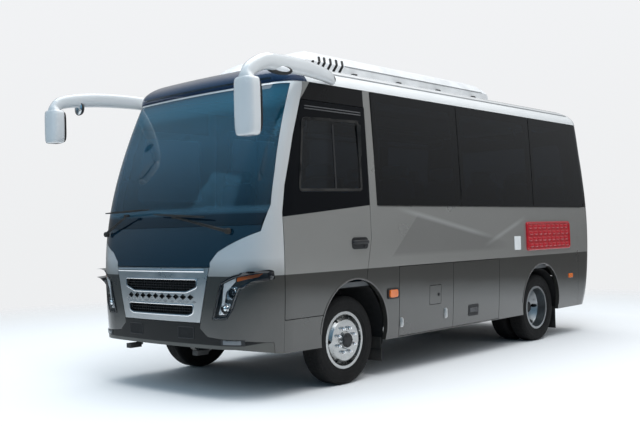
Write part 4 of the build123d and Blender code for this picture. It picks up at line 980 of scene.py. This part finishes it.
# wipers
WIPE = [dict(p=(0.776, -2.745, 1.289), k=(0.210, -2.790, 1.410), t=(-0.060, -2.790, 1.440), h=(0.560, -2.790, 1.400)),
        dict(p=(-0.776, -2.745, 1.289), k=(-0.420, -2.790, 1.440), t=(-0.120, -2.790, 1.480), h=(-0.760, -2.765, 1.470))]
pieces = []
for i, w in enumerate(WIPE):
    p, kn, t, h = (Vector(w[q]) for q in ("p", "k", "t", "h"))
    bm = bmesh.new()
    bm_revolve(bm, [(-0.010, 0.024), (0.018, 0.022), (0.024, 0.015), (0.026, 0.0)], (p.x, p.y, p.z), "Y", 28, 0, -1.0)
    path = [p + Vector((0, -0.012, 0)), p.lerp(kn, 0.22) + Vector((0, -0.012, 0)), p.lerp(kn, 0.6) + Vector((0, -0.006, 0)), kn]
    bm_tube(bm, smooth_path(path, 6), [0.011 - 0.005 * q / 18 for q in range(19)], 10, 0, 1.3)
    mid = h.lerp(t, 0.5)
    bm_box(bm, kn - Vector((0.03, 0.010, 0.010)), kn + Vector((0.03, 0.006, 0.010)))
    n = 24
    rows, rub = [], []
    d = (t - h).normalized()
    for q in range(n + 1):
        u = q / n
        c = h.lerp(t, u)
        b = 0.007 * math.sin(math.pi * u)
        w_ = 0.004 + 0.005 * math.sin(math.pi * u)
        rows.append([c + Vector((0, -0.004 - b, -w_)), c + Vector((0, 0.006 - b, -w_)), c + Vector((0, 0.006 - b, w_)), c + Vector((0, -0.004 - b, w_))])
        rub.append([c + Vector((0, 0.005, -0.0025)), c + Vector((0, 0.013, -0.001)), c + Vector((0, 0.013, 0.001)), c + Vector((0, 0.005, 0.0025))])
    bm_rings(bm, rows)
    bm_rings(bm, rub)
    bmesh.ops.recalc_face_normals(bm, faces=bm.faces)
    o = add_object(f"wiper_{i}", bm, M["rubber"], bevel=0.0008)
    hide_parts("wipers")

# mirrors: swept arms, housings, glasses, look-down mirrors
for s, z, tall in ((1, 2.157, 0.410), (-1, 2.255, 0.290)):
    top = z + tall / 2
    path = smooth_path([(s * 1.046, -1.815, 2.500), (s * 1.085, -1.95, 2.515), (s * 1.125, -2.20, 2.530), (s * 1.165, -2.50, 2.526), (s * 1.205, -2.74, 2.505),
                        (s * 1.228, -2.885, top + 0.085 if s > 0 else top + 0.075), (s * 1.235, -2.945, top + 0.028), (s * 1.235, -2.955, top - 0.03)], 7)
    m = len(path)
    rings = []
    for i, p in enumerate(path):
        a, b = path[max(0, i - 1)], path[min(m - 1, i + 1)]
        t = (b - a).normalized()
        side = t.cross(Vector((0, -0.5, 1))).normalized()
        v = side.cross(t).normalized()
        u = i / (m - 1)
        rw = 0.027 + 0.018 * min(1, u * 1.6) + (0.045 * max(0, (u - 0.86) / 0.14))
        rh = 0.047 + 0.016 * math.sin(math.pi * min(1, u * 1.2)) - 0.006 * max(0, (u - 0.8) / 0.2)
        ring = []
        for k in range(20):
            an = 2 * math.pi * k / 20
            ca, sa = math.cos(an), math.sin(an)
            rr = (abs(ca) ** 3 + abs(sa) ** 3) ** (-1 / 3)
            ring.append(p + side * (ca * rr * rw) + v * (sa * rr * rh))
        rings.append(ring)
    bm = bmesh.new()
    bm_rings(bm, rings)
    levels = [(0.0, 0.55), (0.006, 0.70), (0.022, 0.84), (0.06, 0.92), (0.14, 0.97), (0.35, 1.0), (0.65, 1.0), (0.86, 0.985), (0.95, 0.95), (0.985, 0.88), (1.0, 0.74)]
    rings = []
    for h, sc in levels:
        zz = z - tall / 2 + tall * h
        ring = []
        for k in range(36):
            an = 2 * math.pi * k / 36
            ca, sa = math.cos(an), math.sin(an)
            rr = (abs(ca) ** 4 + abs(sa) ** 4) ** (-1 / 4)
            yy = sa * rr * 0.060
            dome = 0.012 * (1 - min(1, abs(ca * rr)) ** 2) if sa < 0 else 0.0
            ring.append(Vector((s * 1.235 + ca * rr * 0.1015 * sc, -2.952 + yy * (0.55 + 0.45 * sc) * 0.92 - dome * 0.5, zz)))
        rings.append(ring)
    bm_rings(bm, rings)
    bmesh.ops.recalc_face_normals(bm, faces=bm.faces)
    o = add_object(f"mirror_housing_{s}", bm, M["white_gloss"], angle=45)
    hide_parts("mirrors")
    bm = bmesh.new()
    for part, (a0, b0, off, mi) in enumerate(((0.092, 0.47, 0.0, 1), (0.082, 0.445, 0.0035, 0))):
        ring_a, ring_b = [], []
        for k in range(40):
            an = 2 * math.pi * k / 40
            ca, sa = math.cos(an), math.sin(an)
            rr = (abs(ca) ** 5 + abs(sa) ** 5) ** (-1 / 5)
            ring_a.append(Vector((s * 1.235 + ca * rr * a0, -2.900 + off, z + sa * rr * b0 * tall)))
            ring_b.append(Vector((s * 1.235 + ca * rr * a0, -2.892 + off, z + sa * rr * b0 * tall)))
        bm_rings(bm, [ring_a, ring_b], True, mi)
    bm_box(bm, (s * 1.235 - 0.080, -2.8895, z - tall * 0.19), (s * 1.235 + 0.080, -2.8875, z - tall * 0.18), 1)
    bmesh.ops.recalc_face_normals(bm, faces=bm.faces)
    o = add_object(f"mirror_glass_{s}", bm, [M["mirror_glass"], M["black"]], smooth=False)
    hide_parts("mirrors")
    bm = bmesh.new()
    bx = s * 1.047
    bm_revolve(bm, [(-0.022, 0.030), (0.016, 0.034), (0.026, 0.028), (0.030, 0.0)], (bx, -1.826, 2.498), "X", 28, 0, s)
    o = add_object(f"mirror_pivot_{s}", bm, M["black"])
    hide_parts("mirrors")
    if s > 0:
        rings = []
        for i in range(13):
            u = -1 + i / 6
            r = math.sqrt(max(0.02, 1 - u * u))
            rings.append([Vector((1.172 + 0.046 * r * math.cos(a_), -2.555 + u * 0.135, 2.474 + 0.038 * r * math.sin(a_))) for a_ in [2 * math.pi * k / 24 for k in range(24)]])
        bm = bmesh.new()
        bm_rings(bm, rings)
        o = add_object("look_down_pod", bm, M["black"])
        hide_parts("mirrors")
        rings = []
        for i, (u, r) in enumerate(((0.0, 1.0), (0.006, 0.98), (0.010, 0.8), (0.012, 0.4), (0.0125, 0.05))):
            rings.append([Vector((1.208 + u, -2.565 + 0.082 * r * math.cos(a_), 2.472 + 0.020 * r * math.sin(a_))) for a_ in [2 * math.pi * k / 28 for k in range(28)]])
        bm = bmesh.new()
        bm_rings(bm, rings)
        o = add_object("look_down_glass", bm, M["lamp_white"])
        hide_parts("mirrors")
    else:
        bm = bmesh.new()
        bm_revolve(bm, [(-0.030, 0.0), (-0.028, 0.030), (-0.016, 0.054), (0.0, 0.062), (0.010, 0.062), (0.012, 0.058)], (-1.205, -2.715, 2.436), "Y", 36, 1, -1.0)
        bm_revolve(bm, [(0.011, 0.058), (0.020, 0.045), (0.026, 0.025), (0.028, 0.0)], (-1.205, -2.715, 2.436), "Y", 36, 0, -1.0)
        bmesh.ops.recalc_face_normals(bm, faces=bm.faces)
        o = add_object("kerb_mirror", bm, [M["mirror_glass"], M["black"]])
        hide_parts("mirrors")

# roof unit: slots, ledge, seams, clips
AC_TREE = tree_of("roof_ac_unit")


def on_ac(s):
    def f(y, z):
        hit = AC_TREE.ray_cast(Vector((s * 1.4, y, z)), Vector((-s, 0, 0)))
        if hit[0] is None:
            return Vector((s * 0.55, y, z)), Vector((s, 0, 0))
        nn = hit[1] if hit[1].x * s > 0 else -hit[1]
        return hit[0], nn
    return f


for s in (1, -1):
    for k in range(6):
        y = -1.600 + 0.082 * k
        zt = min(2.700 + (y + 1.69) * 0.696, 2.822)
        zb = 2.690 if k > 1 else 2.676
        if zt - zb < 0.03:
            zt = zb + 0.03
        # near-black slot plates: painted shade inside the openings
        plate(f"roof_unit_slot_{k}_{s}", [(y - 0.016, zb), (y + 0.016, zb), (y + 0.016 + (zt - zb) * 0.85, zt), (y - 0.016 + (zt - zb) * 0.85, zt)], on_ac(s), 0.0, 0.0025, M["hole"], r=0.012)
    strip_on(f"roof_unit_seam_{s}", [(-1.10, 2.762), (1.30, 2.762)], on_ac(s), 0.010, 0.004, M["mid_grey"], closed=False)
    bm = bmesh.new()
    bm_box(bm, (min(s * 0.575, s * 0.622), -1.55, 2.600), (max(s * 0.575, s * 0.622), 1.36, 2.668))
    add_object(f"roof_unit_ledge_{s}", bm, M["mid_grey"], bevel=0.012, segs=3)
    bm = bmesh.new()
    for k in range(4):
        y = -1.0 + 0.68 * k
        bm_box(bm, (min(s * 0.600, s * 0.634), y - 0.03, 2.640), (max(s * 0.600, s * 0.634), y + 0.03, 2.700))
    add_object(f"roof_unit_clips_{s}", bm, M["black"], bevel=0.006)
    strip_on(f"roof_rail_{s}", [(-1.95, 0.945), (2.60, 0.945)], lambda y, w, s=s: (Vector((s * w, y, roof_z(s * w, y))), Vector((0, 0, 1))), 0.016, 0.006, M["mid_grey"], closed=False)
for k, y in enumerate((-0.85, 0.10, 0.95)):
    strip_on(f"roof_unit_joint_{k}", [(-0.40, y), (0.40, y)], lambda x, yy: (Vector((x, yy, 2.8798)), Vector((0, 0, 1))), 0.010, 0.0012, M["mid_grey"], closed=False)
bm = bmesh.new()
bm_box(bm, (-0.36, 1.52, 2.7355), (0.36, 2.58, 2.742))
bm_box(bm, (-0.30, 1.58, 2.740), (0.30, 2.52, 2.752))
add_object("roof_hatch_cover", bm, M["white"], bevel=0.004)
plate("visor_shadow_line", [(-0.80, 2.487), (0.80, 2.487), (0.80, 2.500), (-0.80, 2.500)], on_front, 0.0, 0.003, M["gloss_black"])

# rear: lamps, number plate, handles
for s in (1, -1):
    for nm, z0, z1, mat in (("amber", 1.176, 1.305, "amber"), ("red", 0.985, 1.160, "red"), ("white", 0.825, 0.970, "lamp_white")):
        plate(f"tail_{nm}_{s}", mirror_pts([(0.846, z0), (0.962, z0), (0.962, z1), (0.868 if z0 > 1.1 else 0.852, z1)], s), on_rear, 0.001, 0.006, M[mat], r=0.012, bevel=0.003)
    plate(f"rear_reflector_{s}", mirror_pts(rect(0.70, 0.86, 0.52, 0.56), s), on_rear, 0.0, 0.006, M["red"], r=0.008, bevel=0.002)
plate("rear_plate_frame", rect(-0.25, 0.25, 0.765, 0.925), on_rear, 0.0, 0.004, M["black"], "rear_door_body", 0.008)
plate("rear_plate", rect(-0.235, 0.235, 0.778, 0.912), on_rear, 0.004, 0.002, M["plate"], "rear_door_body", 0.008)
bm = bmesh.new()
ry = rear_y(0, 0.70)
bm_tube(bm, smooth_path([(-0.11, ry - 0.005, 0.70), (-0.10, ry + 0.022, 0.70), (0, ry + 0.026, 0.70), (0.10, ry + 0.022, 0.70), (0.11, ry - 0.005, 0.70)], 6), 0.009, 12)
add_object("rear_door_handle", bm, M["black"], "rear_door_body")
strip_on("rear_window_seal", round_outline([(-0.80, 1.48), (0.80, 1.48), (0.77, 2.33), (-0.77, 2.33)], 0.11), on_rear, 0.018, 0.005, M["rubber"])

# cabin: rails, poles, air ducts, column
bm = bmesh.new()
for s in (1, -1):
    bm_tube(bm, smooth_path([(s * 0.50, -1.20, 2.44), (s * 0.50, -1.15, 2.27), (s * 0.50, 0.4, 2.25), (s * 0.50, 2.0, 2.27), (s * 0.50, 2.05, 2.44)], 8), 0.016, 14)
bm_tube(bm, [(-0.58, -1.10, 0.84), (-0.58, -1.10, 2.46)], 0.017, 14)
bm_tube(bm, [(-0.58, -0.32, 0.84), (-0.58, -0.32, 2.46)], 0.017, 14)
bm_tube(bm, [(-0.58, -1.10, 1.62), (-0.96, -1.10, 1.62)], 0.014, 12)
add_object("hand_rails", bm, M["steel"])
bm = bmesh.new()
for s in (1, -1):
    rows = []
    for i in range(2):
        y = (-1.05, 2.35)[i]
        rows.append([Vector((s * 0.955, y, 2.43)), Vector((s * 0.70, y, 2.46)), Vector((s * 0.68, y, 2.41)), Vector((s * 0.72, y, 2.375)), Vector((s * 0.945, y, 2.385))])
    bm_rings(bm, rows)
bmesh.ops.recalc_face_normals(bm, faces=bm.faces)
add_object("air_ducts", bm, M["curtain"], bevel=0.012, segs=3)
bm = bmesh.new()
bm_tube(bm, [(0.48, -2.225, 1.115), (0.48, -2.36, 0.90)], [0.034, 0.046], 18)
add_object("steering_column", bm, M["black"])

# ------------------------------------------------------------------ camera, lights, floor
YAW, PITCH, ROLL, FOCAL = math.radians(41.6164), math.radians(1.1795), math.radians(-1.4629), 872.8042
fwd = Vector((-math.sin(YAW) * math.cos(PITCH), math.cos(YAW) * math.cos(PITCH), math.sin(PITCH)))
rgt = Vector((math.cos(YAW), math.sin(YAW), 0))
upv = rgt.cross(fwd)
R = rgt * math.cos(ROLL) + upv * math.sin(ROLL)
U = -rgt * math.sin(ROLL) + upv * math.cos(ROLL)
cam_data = bpy.data.cameras.new("camera")
cam_data.sensor_width = 36.0
cam_data.lens = FOCAL * 36.0 / 640.0
cam_data.clip_end = 200
cam = bpy.data.objects.new("camera", cam_data)
bpy.context.scene.collection.objects.link(cam)
cam.matrix_world = Matrix(((R.x, U.x, -fwd.x, 5.6481), (R.y, U.y, -fwd.y, -7.1834), (R.z, U.z, -fwd.z, 1.2683), (0, 0, 0, 1)))
bpy.context.scene.camera = cam

bm = bmesh.new()
s = 60.0
bm.faces.new([bm.verts.new(p) for p in ((-s, -s, 0), (s, -s, 0), (s, s, 0), (-s, s, 0))])
me = bpy.data.meshes.new("floor")
bm.to_mesh(me)
bm.free()
floor = bpy.data.objects.new("floor", me)
bpy.context.scene.collection.objects.link(floor)
fm = Mat("studio_floor", (0.90, 0.905, 0.91), rough=0.75, spec=0.2)
fm.color(fm.mix(fm.noise(0.3, 2.0), (0.89, 0.895, 0.90), (0.92, 0.925, 0.93)))
fx, fy, fz = fm.sep()
dist = fm.math("SQRT", fm.math("ADD", fm.math("MULTIPLY", fx, fx), fm.math("MULTIPLY", fy, fy)))
fade = fm.math("SUBTRACT", 1.0, fm.above(dist, 7.2, 2.4))
fm.link(fade, fm.b.inputs["Alpha"])
me.materials.append(fm.m)

world = bpy.data.worlds.new("studio")
bpy.context.scene.world = world
world.use_nodes = True
bg = world.node_tree.nodes["Background"]
tc = world.node_tree.nodes.new("ShaderNodeTexCoord")
sx = world.node_tree.nodes.new("ShaderNodeSeparateXYZ")
rp = world.node_tree.nodes.new("ShaderNodeValToRGB")
world.node_tree.links.new(tc.outputs["Generated"], sx.inputs[0])
world.node_tree.links.new(sx.outputs["Z"], rp.inputs["Fac"])
e = rp.color_ramp.elements
e[0].position, e[0].color = 0.0, (0.93, 0.94, 0.95, 1)
e[1].position, e[1].color = 0.35, (0.97, 0.98, 1.0, 1)
world.node_tree.links.new(rp.outputs["Color"], bg.inputs["Color"])
bg.inputs["Strength"].default_value = 0.92
# what the lamps and reflections see: a dimmer studio, cooler toward the front and above
wn, wl = world.node_tree.nodes, world.node_tree.links
lit = wn.new("ShaderNodeBackground")
up_ramp = wn.new("ShaderNodeValToRGB")
wl.new(sx.outputs["Z"], up_ramp.inputs["Fac"])
el = up_ramp.color_ramp.elements
el[0].position, el[0].color = 0.0, (0.16, 0.16, 0.16, 1)
el[1].position, el[1].color = 0.9, (0.95, 0.98, 1.0, 1)
for pos, v in ((0.03, 0.22), (0.22, 0.42), (0.5, 0.62)):
    w_ = el.new(pos)
    w_.color = (v * 0.97, v, v * 1.03, 1)
cool = wn.new("ShaderNodeMapRange")
cool.clamp = True
wl.new(sx.outputs["Y"], cool.inputs["Value"])
cool.inputs["From Min"].default_value = 0.15
cool.inputs["From Max"].default_value = -0.85
tintm = wn.new("ShaderNodeMix")
tintm.data_type = "RGBA"
tintm.blend_type = "MULTIPLY"
wl.new(cool.outputs["Result"], tintm.inputs[0])
wl.new(up_ramp.outputs["Color"], tintm.inputs[6])
tintm.inputs[7].default_value = (0.34, 0.70, 1.0, 1)
wl.new(tintm.outputs[2], lit.inputs["Color"])
lit.inputs["Strength"].default_value = 0.80
path_node = wn.new("ShaderNodeLightPath")
blend = wn.new("ShaderNodeMixShader")
wl.new(path_node.outputs["Is Camera Ray"], blend.inputs[0])
wl.new(lit.outputs[0], blend.inputs[1])
wl.new(bg.outputs[0], blend.inputs[2])
wl.new(blend.outputs[0], wn["World Output"].inputs["Surface"])


def area(name, loc, target, size, power, color=(1, 1, 1), size_y=None, glossy=True):
    d = bpy.data.lights.new(name, "AREA")
    d.shape = "RECTANGLE"
    d.size = size
    d.size_y = size_y or size
    d.energy = power
    d.color = color
    o = bpy.data.objects.new(name, d)
    bpy.context.scene.collection.objects.link(o)
    o.location = loc
    o.rotation_mode = "QUATERNION"
    o.rotation_quaternion = (Vector(target) - Vector(loc)).to_track_quat("-Z", "Y")
    o.visible_glossy = glossy
    return o


area("key", (5.5, -4.0, 8.5), (0, 0, 1), 5, 260, glossy=False)
area("front_fill", (-4.0, -9.0, 4.5), (0, -2, 1.3), 4, 110, (0.80, 0.92, 1.0), glossy=False)
area("side_fill", (9.0, 4.0, 3.5), (0.5, 0.5, 1.2), 5, 50, glossy=False)
area("top", (0, 0, 10.0), (0, 0, 0), 12, 900)
bpy.context.scene.view_settings.view_transform = "Standard"
bpy.context.scene.view_settings.look = "None"
